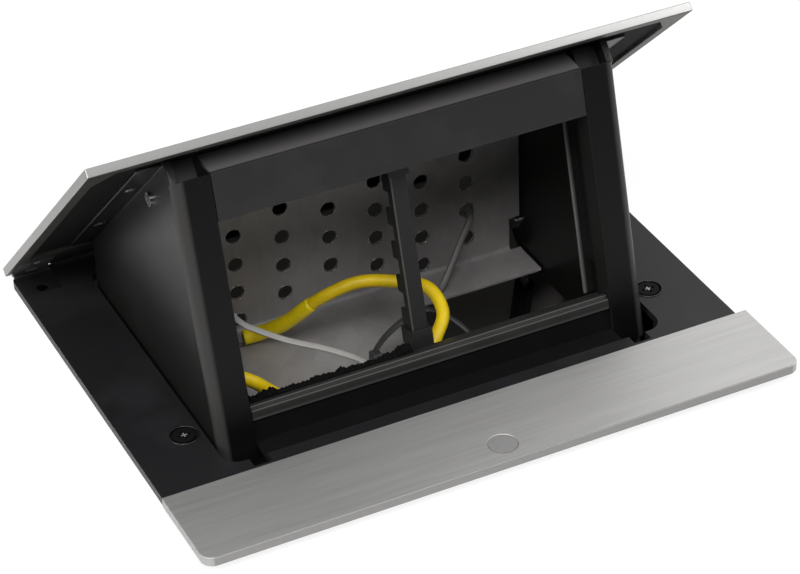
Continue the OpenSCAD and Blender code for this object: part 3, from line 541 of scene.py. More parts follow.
@dataclass(frozen=True)
class MouldedBlack:
    """Spark-eroded black plastic with a fine grain and some dust.

    Attributes:
        grain: Strength of the grain.
        sides: Flat sides with a tone of their own.
        pits: Pits of the grain per metre.
        spots: Dusty spots per metre.
        light: Factor of the dusty tone.
        dust: How far the dust shows.
        dulled: Roughness that dust adds.
    """

    name: str
    tone: Tone
    roughness: float
    grain: float
    gloss: float = 0.3
    sides: tuple[Facing, ...] = ()
    pits: float = 1500.0
    spots: float = 35.0
    light: float = 1.8
    dust: float = 0.8
    dulled: float = 0.08
    uneven: float = 0.16
    depth: float = 0.05 * MM

    def make(self) -> bpy.types.Material:
        """Build the material."""
        s = Shader.material(self.name)
        grain = s.noise(self.pits, 3.0, 0.6)
        dust = s.noise(self.spots, 5.0, 0.65).ramp(0.5, 0.85)
        skin = s.blend(dust * self.dust, self.tone, scaled(self.tone, self.light))
        return s.finish(
            Base_Color=s.faced(skin, self.sides),
            Roughness=self.roughness + (grain - 0.5) * self.uneven + dust * self.dulled,
            Specular_IOR_Level=self.gloss,
            Normal=s.bump(grain, self.grain, self.depth))


@dataclass(frozen=True)
class Galvanised:
    """Dull zinc-coated sheet with a soft spangle and rolling marks.

    Attributes:
        spangle: Crystals per metre.
        rolling: Rolling marks per metre along X, Y and Z.
        stains: Stains per metre.
        shares: Shares of spangle, rolling marks and stains in the shading.
    """

    name: str = "galvanised_sheet"
    tone: Tone = (0.40, 0.385, 0.38)
    metallic: float = 0.3
    roughness: float = 0.50
    spangle: float = 150.0
    rolling: Point = (900.0, 60.0, 60.0)
    stains: float = 28.0
    shares: Point = (0.3, 0.3, 0.4)
    dark: float = 0.76
    light: float = 1.2
    uneven: float = 0.3
    relief: float = 0.10
    depth: float = 0.04 * MM

    def make(self) -> bpy.types.Material:
        """Build the material."""
        s = Shader.material(self.name)
        spangled, rolled, stained = self.shares
        marks = s.noise(self.rolling, 3.0)
        stain = s.noise(self.stains, 4.0, 0.6)
        shade = s.cells(self.spangle) * spangled + marks * rolled + stain * stained
        return s.finish(
            Base_Color=s.blend(shade, scaled(self.tone, self.dark), scaled(self.tone, self.light)),
            Metallic=self.metallic,
            Roughness=self.roughness + (shade - 0.5) * self.uneven,
            Normal=s.bump(marks, self.relief, self.depth))


@dataclass(frozen=True)
class PlatedSteel:
    """Plated steel of screws, pins, rods and springs, with a faint haze."""

    name: str
    tone: Tone = (0.66, 0.66, 0.67)
    roughness: float = 0.26
    metallic: float = 1.0
    haze: float = 400.0
    dark: float = 0.72
    uneven: float = 0.22
    relief: float = 0.08
    depth: float = 0.03 * MM

    def make(self) -> bpy.types.Material:
        """Build the material."""
        s = Shader.material(self.name)
        haze = s.noise(self.haze, 4.0, 0.6)
        return s.finish(
            Base_Color=s.blend(haze.ramp(0.25, 0.75), scaled(self.tone, self.dark), self.tone),
            Metallic=self.metallic,
            Roughness=self.roughness + (haze - 0.5) * self.uneven,
            Normal=s.bump(haze, self.relief, self.depth))


@dataclass(frozen=True)
class LeadSkin:
    """Yellow lead skin, with a green stripe where one is asked for.

    Attributes:
        green: Tone of the stripe, which follows the tube's UV map.
        stripe: Half the stripe's width as a share of the way round, or 0 for none.
        soft: Width of the stripe's soft edge.
        mottle: Mottled spots per metre.
    """

    name: str
    tone: Tone = (0.90, 0.64, 0.006)
    green: Tone = (0.05, 0.22, 0.03)
    stripe: float = 0.0
    soft: float = 0.02
    roughness: float = 0.38
    mottle: float = 260.0
    dark: float = 0.86
    uneven: float = 0.16
    relief: float = 0.12
    depth: float = 0.08 * MM

    def make(self) -> bpy.types.Material:
        """Build the material."""
        s = Shader.material(self.name)
        mottle = s.noise(self.mottle, 4.0, 0.6)
        skin = s.blend(mottle.ramp(0.3, 0.75), scaled(self.tone, self.dark), self.tone)
        if self.stripe > 0.0:
            uv = s.make("ShaderNodeUVMap", {"uv_map": "UVMap"}, {})
            aside = s.split(uv.outputs[0])[1] - 0.5
            near = (aside * aside).root()
            skin = s.blend(1.0 - near.ramp(self.stripe, self.stripe + self.soft), skin, self.green)
        return s.finish(
            Base_Color=skin,
            Roughness=self.roughness + mottle * self.uneven,
            Normal=s.bump(mottle, self.relief, self.depth))


@dataclass(frozen=True)
class Strap:
    """Milky nylon of the cable ties, faintly clouded."""

    name: str
    tone: Tone = (0.42, 0.41, 0.395)
    roughness: float = 0.36
    milky: float = 0.25
    clouds: float = 180.0
    dark: float = 0.84
    uneven: float = 0.14
    relief: float = 0.06
    depth: float = 0.05 * MM

    def make(self) -> bpy.types.Material:
        """Build the material."""
        s = Shader.material(self.name)
        cloud = s.noise(self.clouds, 3.0)
        return s.finish(
            Base_Color=s.blend(cloud, scaled(self.tone, self.dark), self.tone),
            Roughness=self.roughness + cloud * self.uneven,
            Subsurface_Weight=self.milky,
            Subsurface_Scale=MM,
            Normal=s.bump(cloud, self.relief, self.depth))


@dataclass(frozen=True)
class Foam:
    """Torn black open-cell foam."""

    name: str = "torn_foam"
    dark: Tone = (0.0015, 0.0015, 0.0015)
    light: Tone = (0.006, 0.006, 0.0062)
    roughness: float = 0.9
    gloss: float = 0.1
    cells: float = 1400.0
    clumps: float = 300.0
    contrast: float = 1.6
    uneven: float = 0.1
    relief: float = 0.6
    depth: float = 0.4 * MM

    def make(self) -> bpy.types.Material:
        """Build the material."""
        s = Shader.material(self.name)
        cells = s.cells(self.cells)
        clumps = s.noise(self.clumps, 4.0, 0.7)
        return s.finish(
            Base_Color=s.blend(cells * clumps * self.contrast, self.dark, self.light),
            Roughness=self.roughness + cells * self.uneven,
            Specular_IOR_Level=self.gloss,
            Normal=s.bump(cells, self.relief, self.depth))


def inner_plastic(name: str, *sides: Facing) -> bpy.types.Material:
    """Plain black plastic of the pieces inside the module.

    Args:
        name: The material's name.
        *sides: Flat sides with a tone of their own.

    Returns:
        The material.
    """
    return MouldedBlack(name, (0.011, 0.011, 0.011), roughness=0.50, grain=0.28, sides=sides).make()


class Palette:
    """The ready finishes of this object, each made once."""

    def __init__(self) -> None:
        """Make every finish."""
        leaf_front = Facing((0.0, -1.0, 0.0), -103.5 * MM, (0.009, 0.009, 0.0095))
        self.plate = BlackPaint("plate_paint").make()
        self.leaf = BlackPaint(
            "leaf_paint", (0.06, 0.06, 0.061), roughness=0.34, peel=0.06, gloss=0.5,
            sides=(leaf_front,)).make()
        self.socket_head = BlackPaint(
            "clamp_black", (0.004, 0.004, 0.004), roughness=0.6, peel=0.05, gloss=0.1).make()
        self.tube = BlackPaint("spring_tube_paint", (0.016, 0.016, 0.017), roughness=0.22, peel=0.04).make()
        self.skirt = MouldedBlack(
            "skirt_plastic", (0.0035, 0.0035, 0.0035), roughness=0.65, grain=0.2, gloss=0.08).make()
        self.inner = inner_plastic("inner_plastic")
        self.liner = MouldedBlack(
            "liner_sheet", (0.0095, 0.0093, 0.009), roughness=0.7, grain=0.3, gloss=0.08).make()
        self.zinc = Galvanised().make()
        self.zinc_dark = Galvanised(
            "zinc_passivated", (0.30, 0.30, 0.31), metallic=0.8, roughness=0.42).make()
        self.steel = PlatedSteel("bright_zinc").make()
        self.dark_steel = PlatedSteel("black_zinc", (0.055, 0.055, 0.058), roughness=0.30).make()
        # Bright zinc, half metallic so that the screw heads show a painted glint under any light
        self.glint = PlatedSteel("screw_zinc", (0.80, 0.80, 0.81), roughness=0.30, metallic=0.5).make()
        # Painted glint: bright caps for the black clamp screws
        self.cap = PlatedSteel("cap_zinc", (0.45, 0.45, 0.46), roughness=0.30, metallic=0.5).make()
        self.lead = LeadSkin("earth_lead_skin", stripe=0.07).make()
        self.sleeve = LeadSkin("crimp_sleeve", (0.99, 0.76, 0.004)).make()
        self.tie = Strap("tie_nylon").make()
        self.tie_dull = Strap("tie_nylon_dull", (0.17, 0.165, 0.16)).make()
        self.tie_grey = Strap("tie_nylon_grey", (0.06, 0.06, 0.06)).make()
        self.foam = Foam().make()


# Mesh helpers


def body_of(node: str) -> str:
    """Name of the body that a CAD node belongs to."""
    return next(b for b, names in frame["record"]["behaviour"]["bodies"].items() if node in names)


def new_piece(name: str, bm: bmesh.types.BMesh, material: bpy.types.Material) -> bpy.types.Object:
    """Turn a bmesh in the row frame into an object.

    Args:
        name: Name of the piece.
        bm: The mesh, which is freed.
        material: Its finish.

    Returns:
        The linked object.
    """
    mesh = bpy.data.meshes.new(name)
    bm.to_mesh(mesh)
    bm.free()
    mesh.materials.append(material)
    obj = bpy.data.objects.new(name, mesh)
    bpy.context.scene.collection.objects.link(obj)
    LOG.info("made %s", name)
    return obj


def settle(obj: bpy.types.Object) -> None:
    """Apply an object's modifiers to a plain mesh.

    Args:
        obj: The object, whose modifiers are then gone.
    """
    graph = bpy.context.evaluated_depsgraph_get()
    mesh = bpy.data.meshes.new_from_object(obj.evaluated_get(graph), depsgraph=graph)
    old = obj.data
    obj.modifiers.clear()
    obj.data = mesh
    bpy.data.meshes.remove(old)
    mesh.name = obj.name


def dress(material: bpy.types.Material, *nodes: str) -> None:
    """Give CAD nodes a finish.

    Args:
        material: The finish.
        *nodes: Names of the nodes.
    """
    for node in nodes:
        mesh = frame["nodes"][node].data
        mesh.materials.clear()
        mesh.materials.append(material)
        LOG.info("dressed %s", node)


def mark_edges(bm: bmesh.types.BMesh) -> None:
    """Mark the sharp edges to ease, leaving out those of faces too narrow to take it.

    Args:
        bm: The mesh, which gets bevel weights.
    """
    weights = bm.edges.layers.float.new("bevel_weight_edge")
    broad = {f: f.calc_area() > SLIVER * max(e.calc_length() for e in f.edges) for f in bm.faces}
    for edge in bm.edges:
        sharp = edge.calc_face_angle(0.0) > SHARP
        edge[weights] = float(sharp and all(broad[f] for f in edge.link_faces))


def ease(node: str, width_mm: float, material: bpy.types.Material) -> None:
    """Replace a CAD node by a copy with eased edges.

    Args:
        node: Name of the node.
        width_mm: Width of the easing.
        material: Its finish.
    """
    bm = bmesh.new()
    bm.from_mesh(frame["nodes"][node].data)
    bmesh.ops.remove_doubles(bm, verts=bm.verts, dist=WELD)
    bmesh.ops.dissolve_limit(bm, angle_limit=FLAT, verts=bm.verts, edges=bm.edges)
    mark_edges(bm)
    obj = new_piece(f"{node}_eased", bm, material)
    obj.data.polygons.foreach_set("use_smooth", [True] * len(obj.data.polygons))
    bevel = obj.modifiers.new("ease", "BEVEL")
    bevel.width = width_mm * MM
    bevel.segments = 2
    bevel.limit_method = "WEIGHT"
    bevel.use_clamp_overlap = False
    weights = obj.modifiers.new("weights", "WEIGHTED_NORMAL")
    weights.mode = "FACE_AREA"
    weights.weight = 100
    settle(obj)
    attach(obj, body_of(node))
    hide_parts(node)


def smooth_route(points: Sequence[Point], steps: int) -> list[Vector]:
    """Curve through chosen points, as the part's own source draws it.

    Args:
        points: Chosen points in millimetres.
        steps: Samples between two points.

    Returns:
        Points of the curve in metres.
    """
    p = [Vector(q) for q in points]
    out: list[Vector] = []
    for i in range(len(p) - 1):
        a, b, c, d = p[max(i - 1, 0)], p[i], p[i + 1], p[min(i + 2, len(p) - 1)]
        for k in range(steps):
            t = k / steps
            out.append(0.5 * (2 * b + (c - a) * t + (2 * a - 5 * b + 4 * c - d) * t * t
                              + (3 * b - a - 3 * c + d) * t * t * t) * MM)
    out.append(p[-1] * MM)
    return out


def close_ends(bm: bmesh.types.BMesh, rings: Sequence[list[bmesh.types.BMVert]]) -> None:
    """Close the two ends of a row of rings and turn all faces outwards.

    Args:
        bm: The mesh.
        rings: Its rings in order.
    """
    bm.faces.new(list(reversed(rings[0])))
    bm.faces.new(rings[-1])
    bmesh.ops.recalc_face_normals(bm, faces=bm.faces)


def sweep(path: Sequence[Vector], section: Callable[[float], Outline], first: Vector) -> bmesh.types.BMesh:
    """Sweep a section along a path with a UV map and closed ends.

    Args:
        path: Points in metres.
        section: Outline in metres at a share of the length from 0 to 1.
        first: Direction of the section's first axis at the start.

    Returns:
        The mesh.
    """
    bm = bmesh.new()
    uv = bm.loops.layers.uv.new("UVMap")
    n = len(path)
    rings: list[list[bmesh.types.BMVert]] = []
    normal = first.copy()
    for i, point in enumerate(path):
        tangent = (path[min(i + 1, n - 1)] - path[max(i - 1, 0)]).normalized()
        normal = (normal - tangent * normal.dot(tangent)).normalized()
        side = tangent.cross(normal)
        rings.append([bm.verts.new(point + normal * u + side * v) for u, v in section(i / (n - 1))])
    m = len(rings[0])
    for i in range(n - 1):
        for j in range(m):
            k = (j + 1) % m
            face = bm.faces.new((rings[i][j], rings[i][k], rings[i + 1][k], rings[i + 1][j]))
            face.smooth = True
            spots = ((i, j), (i, j + 1), (i + 1, j + 1), (i + 1, j))
            for loop, (a, b) in zip(face.loops, spots):
                loop[uv].uv = (a / (n - 1), b / m)
    close_ends(bm, rings)
    return bm


def round_section(radius: float, sides: int) -> Outline:
    """Points of a circle."""
    turns = [math.tau * j / sides for j in range(sides)]
    return [(radius * math.cos(a), radius * math.sin(a)) for a in turns]


def strap_section(width: float, thick: float, sides: int = 16, blunt: tuple[float, float] = (0.55, 0.7)
                  ) -> Outline:
    """Points of a flat strap with round edges.

    Args:
        width: Width of the strap.
        thick: Its thickness.
        sides: Number of points.
        blunt: Powers that square the outline off across its width and its thickness.

    Returns:
        The outline.
    """
    out = []
    for c, s in round_section(1.0, sides):
        across = math.copysign(abs(c) ** blunt[0], c)
        through = math.copysign(abs(s) ** blunt[1], s)
        out.append((width / 2 * across, thick / 2 * through))
    return out


# Geometry Nodes


class PointTree:
    """A Geometry Nodes tree that puts one small form on every point of a mesh."""

    def __init__(self, name: str, material: bpy.types.Material, sizes: dict[str, float]) -> None:
        """Start the tree.

        Args:
            name: Name of the tree.
            material: Finish of the result.
            sizes: Named inputs with their sizes in metres.
        """
        self.tree = bpy.data.node_groups.new(name, "GeometryNodeTree")
        self.sizes = sizes
        face = self.tree.interface
        face.new_socket("Points", in_out="INPUT", socket_type="NodeSocketGeometry")
        self.ids = {}
        for key, value in sizes.items():
            socket = face.new_socket(key, in_out="INPUT", socket_type="NodeSocketFloat")
            socket.default_value = value
            self.ids[key] = socket.identifier
        face.new_socket("Result", in_out="OUTPUT", socket_type="NodeSocketGeometry")
        self.inputs = self.tree.nodes.new("NodeGroupInput")
        self.outputs = self.tree.nodes.new("NodeGroupOutput")
        self.material = material

    def make(self, kind: str, settings: dict[str, Any], sockets: dict[str | int, Any]) -> bpy.types.Node:
        """Add a node.

        Args:
            kind: The node's type.
            settings: Properties, set first.
            sockets: Links or values of its inputs; a text names one of the tree's sizes.

        Returns:
            The node.
        """
        node = self.tree.nodes.new(kind)
        for key, value in settings.items():
            setattr(node, key, value)
        for key, value in sockets.items():
            if isinstance(value, str):
                value = self.inputs.outputs[value]
            if isinstance(value, bpy.types.NodeSocket):
                self.tree.links.new(value, node.inputs[key])
            else:
                node.inputs[key].default_value = value
        return node

    def close(self, form: bpy.types.NodeSocket) -> None:
        """Put the form on the points, turned to their facing, and end the tree.

        Args:
            form: Geometry of one form, standing up along Z.
        """
        facing = self.make("GeometryNodeInputNamedAttribute", {"data_type": "FLOAT_VECTOR"}, {})
        facing.inputs["Name"].default_value = "facing"
        turn = self.make("FunctionNodeAlignRotationToVector", {"axis": "Z"}, {"Vector": facing.outputs[0]})
        put = self.make("GeometryNodeInstanceOnPoints", {}, {
            "Points": "Points", "Instance": form, "Rotation": turn.outputs[0]})
        real = self.make("GeometryNodeRealizeInstances", {}, {"Geometry": put.outputs[0]})
        done = self.make("GeometryNodeSetMaterial", {}, {"Geometry": real.outputs[0]})
        done.inputs["Material"].default_value = self.material
        self.tree.links.new(done.outputs[0], self.outputs.inputs[0])

    def put(self, name: str, points: Sequence[Spot], body: Body, slot: str) -> None:
        """Make one piece of the tree's forms.

        Args:
            name: Name of the piece.
            points: Place in metres and facing of each form.
            body: Body that it rides on.
            slot: Record slot of its finish; not used.
        """
        mesh = bpy.data.meshes.new(name)
        mesh.from_pydata([p for p, _ in points], [], [])
        facing = mesh.attributes.new("facing", "FLOAT_VECTOR", "POINT")
        for i, (_, direction) in enumerate(points):
            facing.data[i].vector = direction
        obj = bpy.data.objects.new(name, mesh)
        bpy.context.scene.collection.objects.link(obj)
        modifier = obj.modifiers.new("forms", "NODES")
        modifier.node_group = self.tree
        for key, identifier in self.ids.items():
            modifier[identifier] = self.sizes[key]
        settle(obj)
        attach(obj, body.value)
        LOG.info("made %s with %d forms", name, len(points))


class CrossHead(PointTree):
    """Pan screw heads with a cross recess.

    Attributes:
        sides: Corners of the round head.
        crown: Radius of the head's top as a share of its foot.
        slot_length: Length of the recess as a share of the head's radius.
        slot_width: Width of the recess as a share of the head's radius.
        slot_depth: Height of the cutting bars as a share of the head's height.
    """

    sides: int = 28
    crown: float = 0.8
    slot_length: float = 1.15
    slot_width: float = 0.26
    slot_depth: float = 1.3

    def __init__(self, name: str, material: bpy.types.Material, radius_mm: float, height_mm: float) -> None:
        """Build the tree.

        Args:
            name: Name of the tree.
            material: Finish of the heads.
            radius_mm: Radius of a head.
            height_mm: Height of a head.
        """
        super().__init__(name, material, {
            "Head Radius": radius_mm * MM,
            "Crown Radius": self.crown * radius_mm * MM,
            "Head Height": height_mm * MM,
            "Slot Length": self.slot_length * radius_mm * MM,
            "Slot Width": self.slot_width * radius_mm * MM,
            "Slot Depth": self.slot_depth * height_mm * MM})
        cone = self.make("GeometryNodeMeshCone", {}, {
            "Vertices": self.sides, "Radius Top": "Crown Radius", "Radius Bottom": "Head Radius",
            "Depth": "Head Height"})
        lift = self.make("ShaderNodeCombineXYZ", {}, {2: "Head Height"})
        bars = self.make("GeometryNodeJoinGeometry", {}, {})
        for x, y in (("Slot Length", "Slot Width"), ("Slot Width", "Slot Length")):
            size = self.make("ShaderNodeCombineXYZ", {}, {0: x, 1: y, 2: "Slot Depth"})
            bar = self.make("GeometryNodeMeshCube", {}, {"Size": size.outputs[0]})
            up = self.make("GeometryNodeSetPosition", {}, {
                "Geometry": bar.outputs[0], "Offset": lift.outputs[0]})
            self.tree.links.new(up.outputs[0], bars.inputs[0])
        cut = self.make("GeometryNodeMeshBoolean", {"operation": "DIFFERENCE"}, {
            0: cone.outputs[0], 1: bars.outputs[0]})
        self.close(cut.outputs[0])


class HoleRim(PointTree):
    """Rolled rims round punched holes.

    Attributes:
        ring_sides: Corners round a hole.
        edge_sides: Corners of the rolled edge's section.
    """

    ring_sides: int = 32
    edge_sides: int = 6

    def __init__(self, name: str, material: bpy.types.Material, hole_mm: float, wire_mm: float) -> None:
        """Build the tree.

        Args:
            name: Name of the tree.
            material: Finish of the rims.
            hole_mm: Radius of a hole.
            wire_mm: Radius of the rolled edge.
        """
        super().__init__(name, material, {"Hole Radius": hole_mm * MM, "Edge Radius": wire_mm * MM})
        ring = self.make("GeometryNodeCurvePrimitiveCircle", {}, {
            "Resolution": self.ring_sides, "Radius": "Hole Radius"})
        edge = self.make("GeometryNodeCurvePrimitiveCircle", {}, {
            "Resolution": self.edge_sides, "Radius": "Edge Radius"})
        rim = self.make("GeometryNodeCurveToMesh", {}, {0: ring.outputs[0], 1: edge.outputs[0]})
        self.close(rim.outputs[0])


# Sub-assemblies


@dataclass
class Layout:
    """Sizes in millimetres that the pieces share with the part's source."""

    hinge_y: float = 107.1
    hinge_z: float = 4.3
    open_angle: float = 43.3
    face_lean: float = 29.0
    face_reach: float = 160.5
    ledge_drop: float = 8.9
    plate_top: float = 3.5

    def raised(self, x: float, y: float, z: float) -> Vector:
        """A point of the shut lid's hinge frame, in the row frame in metres."""
        a = math.radians(self.open_angle)
        return Vector((x, self.hinge_y + y * math.cos(a) + z * math.sin(a),
                       self.hinge_z - y * math.sin(a) + z * math.cos(a))) * MM

    def on_face(self, x: float, depth: float, up: float) -> Vector:
        """A point behind the face, in the row frame in metres.

        Args:
            x: Place across the box.
            depth: Depth behind the face.
            up: Height along the face over its top line.

        Returns:
            The point.
        """
        b = math.radians(self.face_lean)
        return self.raised(x, depth * math.cos(b) - up * math.sin(b) - self.face_reach,
                           depth * math.sin(b) + up * math.cos(b) - self.ledge_drop)

    def lid_normal(self) -> Point:
        """Direction out of the raised lid's underside."""
        a = math.radians(self.open_angle)
        return (0.0, -math.sin(a), -math.cos(a))

    def lid_front(self) -> Point:
        """Direction out of the raised lid's front edge."""
        a = math.radians(self.open_angle)
        return (0.0, -math.cos(a), math.sin(a))

    def face_out(self) -> Vector:
        """Direction out of the module's face."""
        return (self.on_face(0.0, -1.0, 0.0) - self.on_face(0.0, 0.0, 0.0)).normalized()

    def face_up(self) -> Point:
        """Direction up the module's face."""
        return tuple((self.on_face(0.0, 0.0, 1.0) - self.on_face(0.0, 0.0, 0.0)).normalized())


@dataclass
class TopPlates:
    """Front strip with its button, lid and lid liner, in millimetres.

    Attributes:
        ends_below: Depth under the strip's top at which the painted shade of its sides and ends starts.
        arris_in: Depth of the arris with painted shade along the strip's front.
        dull_from: Distance to the left at which the painted shade on strip and lid is full.
        dull_over: Stretch over which that painted shade sets in.
        lid_under: Height of the lid's underside in its hinge frame.
        pocket_start: Distance of the liner's pocket from the hinge.
        wall_t: Depth behind the pocket's end wall that counts as that wall.
    """

    palette: Palette
    layout: Layout
    plate_edge: float = 0.3
    liner_edge: float = 0.2
    strip_front: float = -106.8
    strip_top: float = 7.5
    ends_below: float = 0.4
    arris_in: float = 0.1
    dull_from: float = 75.0
    dull_over: float = 100.0
    lid_depth: float = 172.2
    lid_under: float = -0.55
    half_width: float = 127.0
    pocket_start: float = 26.0
    pocket_depth: float = 2.4
    wall_t: float = 0.8
    sawn: Tone = (0.37, 0.367, 0.36)
    sawn_rough: float = 0.30
    sawn_ends: Tone = (0.32, 0.317, 0.31)
    milled: Tone = (0.28, 0.277, 0.272)
    strip_ends: Tone = (0.43, 0.427, 0.42)
    dull: Tone = (0.475, 0.472, 0.464)
    underside: Tone = (0.11, 0.107, 0.10)
    button_at: Point = (0.0, -96.7, 7.5)

    def build(self) -> None:
        """Ease and dress the plates and the button."""
        # Painted shade: strip and lid darken towards the left end, in place of light falling off there
        fade = Facing((-1.0, 0.0, 0.0), self.dull_from * MM, self.dull, self.dull_over * MM)
        ease("front_strip", self.plate_edge, self.strip_finish(fade))
        ease("lid_plate", self.plate_edge, self.lid_finish(fade))
        ease("lid_liner", self.liner_edge, self.palette.liner)
        x, y, z = self.button_at
        dress(TurnedDisc("button_disc", (x * MM, y * MM, z * MM)).make(), "release_button")

    def strip_finish(self, fade: Facing) -> bpy.types.Material:
        """Brushed aluminium with painted shade on its ends, darkest on its front and less dark on the arris
        over the front.

        Args:
            fade: The painted shade on the left part.

        Returns:
            The material.
        """
        arris = Vector((0.0, -1.0, 1.0)).normalized()
        eased = Vector((0.0, self.strip_front, self.strip_top)).dot(arris) - self.arris_in
        # Painted shade: plain darker tones on the strip's ends, front and front arris
        return BrushedAluminium("strip_aluminium", shades=(fade,), sides=(
            Facing((0.0, 0.0, -1.0), (self.ends_below - self.strip_top) * MM, self.strip_ends),
            Facing((0.0, -1.0, 0.0), -self.strip_front * MM, self.milled),
            Facing(tuple(arris), eased * MM, self.sawn))).make()

    def lid_finish(self, fade: Facing) -> bpy.types.Material:
        """Brushed aluminium with painted shade on its front edge, which also has its own roughness, on its
        ends, on its underside and on the end wall of the liner's pocket.

        Args:
            fade: The painted shade on the left part.

        Returns:
            The material.
        """
        lay = self.layout
        front, down = lay.lid_front(), lay.lid_normal()
        rear = tuple(-c for c in front)
        corner = lay.raised(0.0, -self.lid_depth, self.lid_under)
        under = corner.dot(Vector(down))
        wall = lay.raised(0.0, -self.pocket_start, 0.0).dot(Vector(rear))
        pocket = (Facing(down, under - self.pocket_depth * MM, self.underside),
                  Facing(front, -wall - self.wall_t * MM, self.underside))
        ends = tuple(Facing((s.value, 0.0, 0.0), self.half_width * MM, self.sawn_ends) for s in Side)
        # Painted shade: plain darker tones on the lid's front edge, ends, underside and the pocket's end
        # wall
        return BrushedAluminium("lid_aluminium", shades=(fade,), sides=(
            Facing(front, corner.dot(Vector(front)), self.sawn, rough=self.sawn_rough),
            Facing(down, under, self.underside),
            Facing(rear, wall, self.underside, within=pocket),
            *ends)).make()


@dataclass
class FramePlate:
    """Frame plate with its clamp screws, hinge leaves and rear seal, in millimetres.

    Attributes:
        cap_foot: Height of the foot of the caps with painted glints on the clamp screws.
        seal_steps: Left end, right end and height of each stretch of the seal.
    """

    palette: Palette
    layout: Layout
    clamp_x: float = 103.0
    clamp_y: float = -29.0
    dimple_r: float = 5.8
    dimple_rim_r: float = 0.35
    cap_r: float = 2.2
    cap_height: float = 0.2
    cap_foot: float = 3.56
    plate_rear: float = 105.05
    seal_rear: float = 109.2
    seal_steps: tuple[tuple[float, float, float], ...] = (
        (-121.0, -106.0, 2.2), (-106.0, 106.0, 2.9), (106.0, 121.0, 2.2))

    def build(self) -> None:
        """Dress the plate and what is screwed to it, and lay the seal behind it."""
        p = self.palette
        dress(p.plate, "frame_plate")
        dress(p.leaf, "frame_leaves")
        dress(p.dark_steel, "frame_leaf_screws")
        dress(p.socket_head, "clamp_screws")
        dress(p.steel, "hinge_pins", "strip_screws")
        ring = HoleRim("dimple_ring", p.leaf, self.dimple_r, self.dimple_rim_r)
        ring.put("dimple_rims", self.clamp_spots(self.layout.plate_top), Body.FRAME, "black_paint")
        # Painted glint: small bright cross caps on top of the black clamp screws
        cross = CrossHead("clamp_cross", p.cap, self.cap_r, self.cap_height)
        cross.put("clamp_screw_caps", self.clamp_spots(self.cap_foot), Body.FRAME, "bright_steel")
        self.seal()

    def clamp_spots(self, height: float) -> list[Spot]:
        """Places over the two clamp screws, facing up.

        Args:
            height: Their height in millimetres.

        Returns:
            Place in metres and facing of each.
        """
        up = (0.0, 0.0, 1.0)
        return [((s.value * self.clamp_x * MM, self.clamp_y * MM, height * MM), up) for s in Side]

    def seal(self) -> None:
        """Lay the foam seal on the desk behind the plate, lower under the hinges."""
        bm = bmesh.new()
        for left, right, top in self.seal_steps:
            cube = bmesh.ops.create_cube(bm, size=1.0)["verts"]
            size = Vector((right - left, self.seal_rear - self.plate_rear, top)) * MM
            middle = Vector((left + right, self.seal_rear + self.plate_rear, top)) * (0.5 * MM)
            for v in cube:
                v.co = Vector(a * b for a, b in zip(v.co, size)) + middle
        obj = new_piece("rear_seal", bm, self.palette.foam)
        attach(obj, Body.FRAME.value)


@dataclass
class LidHinges:
    """Lid leaves with their screws and the screws of the bars under the lid, in millimetres."""

    palette: Palette
    layout: Layout
    leaf_x: float = 116.0
    leaf_y: float = 14.5
    leaf_under: float = -0.55
    leaf_head_r: float = 2.2
    leaf_head_height: float = 0.35
    bar_under: float = -0.35
    bar_head_r: float = 2.4
    bar_head_height: float = 0.3
    bar_x: float = 99.0
    bar_ys: tuple[float, float] = (65.3, 122.3)

    def build(self) -> None:
        """Dress the leaves and add crossed heads to the screws."""
        p, lay = self.palette, self.layout
        dress(p.zinc_dark, "lid_leaves")
        dress(p.steel, "lid_leaf_screws", "cheek_screws", "tray_screws")
        down = lay.lid_normal()
        leaf = CrossHead("leaf_screw_head", p.glint, self.leaf_head_r, self.leaf_head_height)
        leaf_places = [lay.raised(s.value * self.leaf_x, -self.leaf_y, self.leaf_under) for s in Side]
        leaf.put("leaf_screw_heads", [(tuple(at), down) for at in leaf_places], Body.MODULE, "bright_steel")
        bar = CrossHead("bar_screw_head", p.steel, self.bar_head_r, self.bar_head_height)
        bar_places = [lay.raised(s.value * self.bar_x, -y, self.bar_under)
                      for s in Side for y in self.bar_ys]
        bar.put("bar_screw_heads", [(tuple(at), down) for at in bar_places], Body.MODULE, "bright_steel")


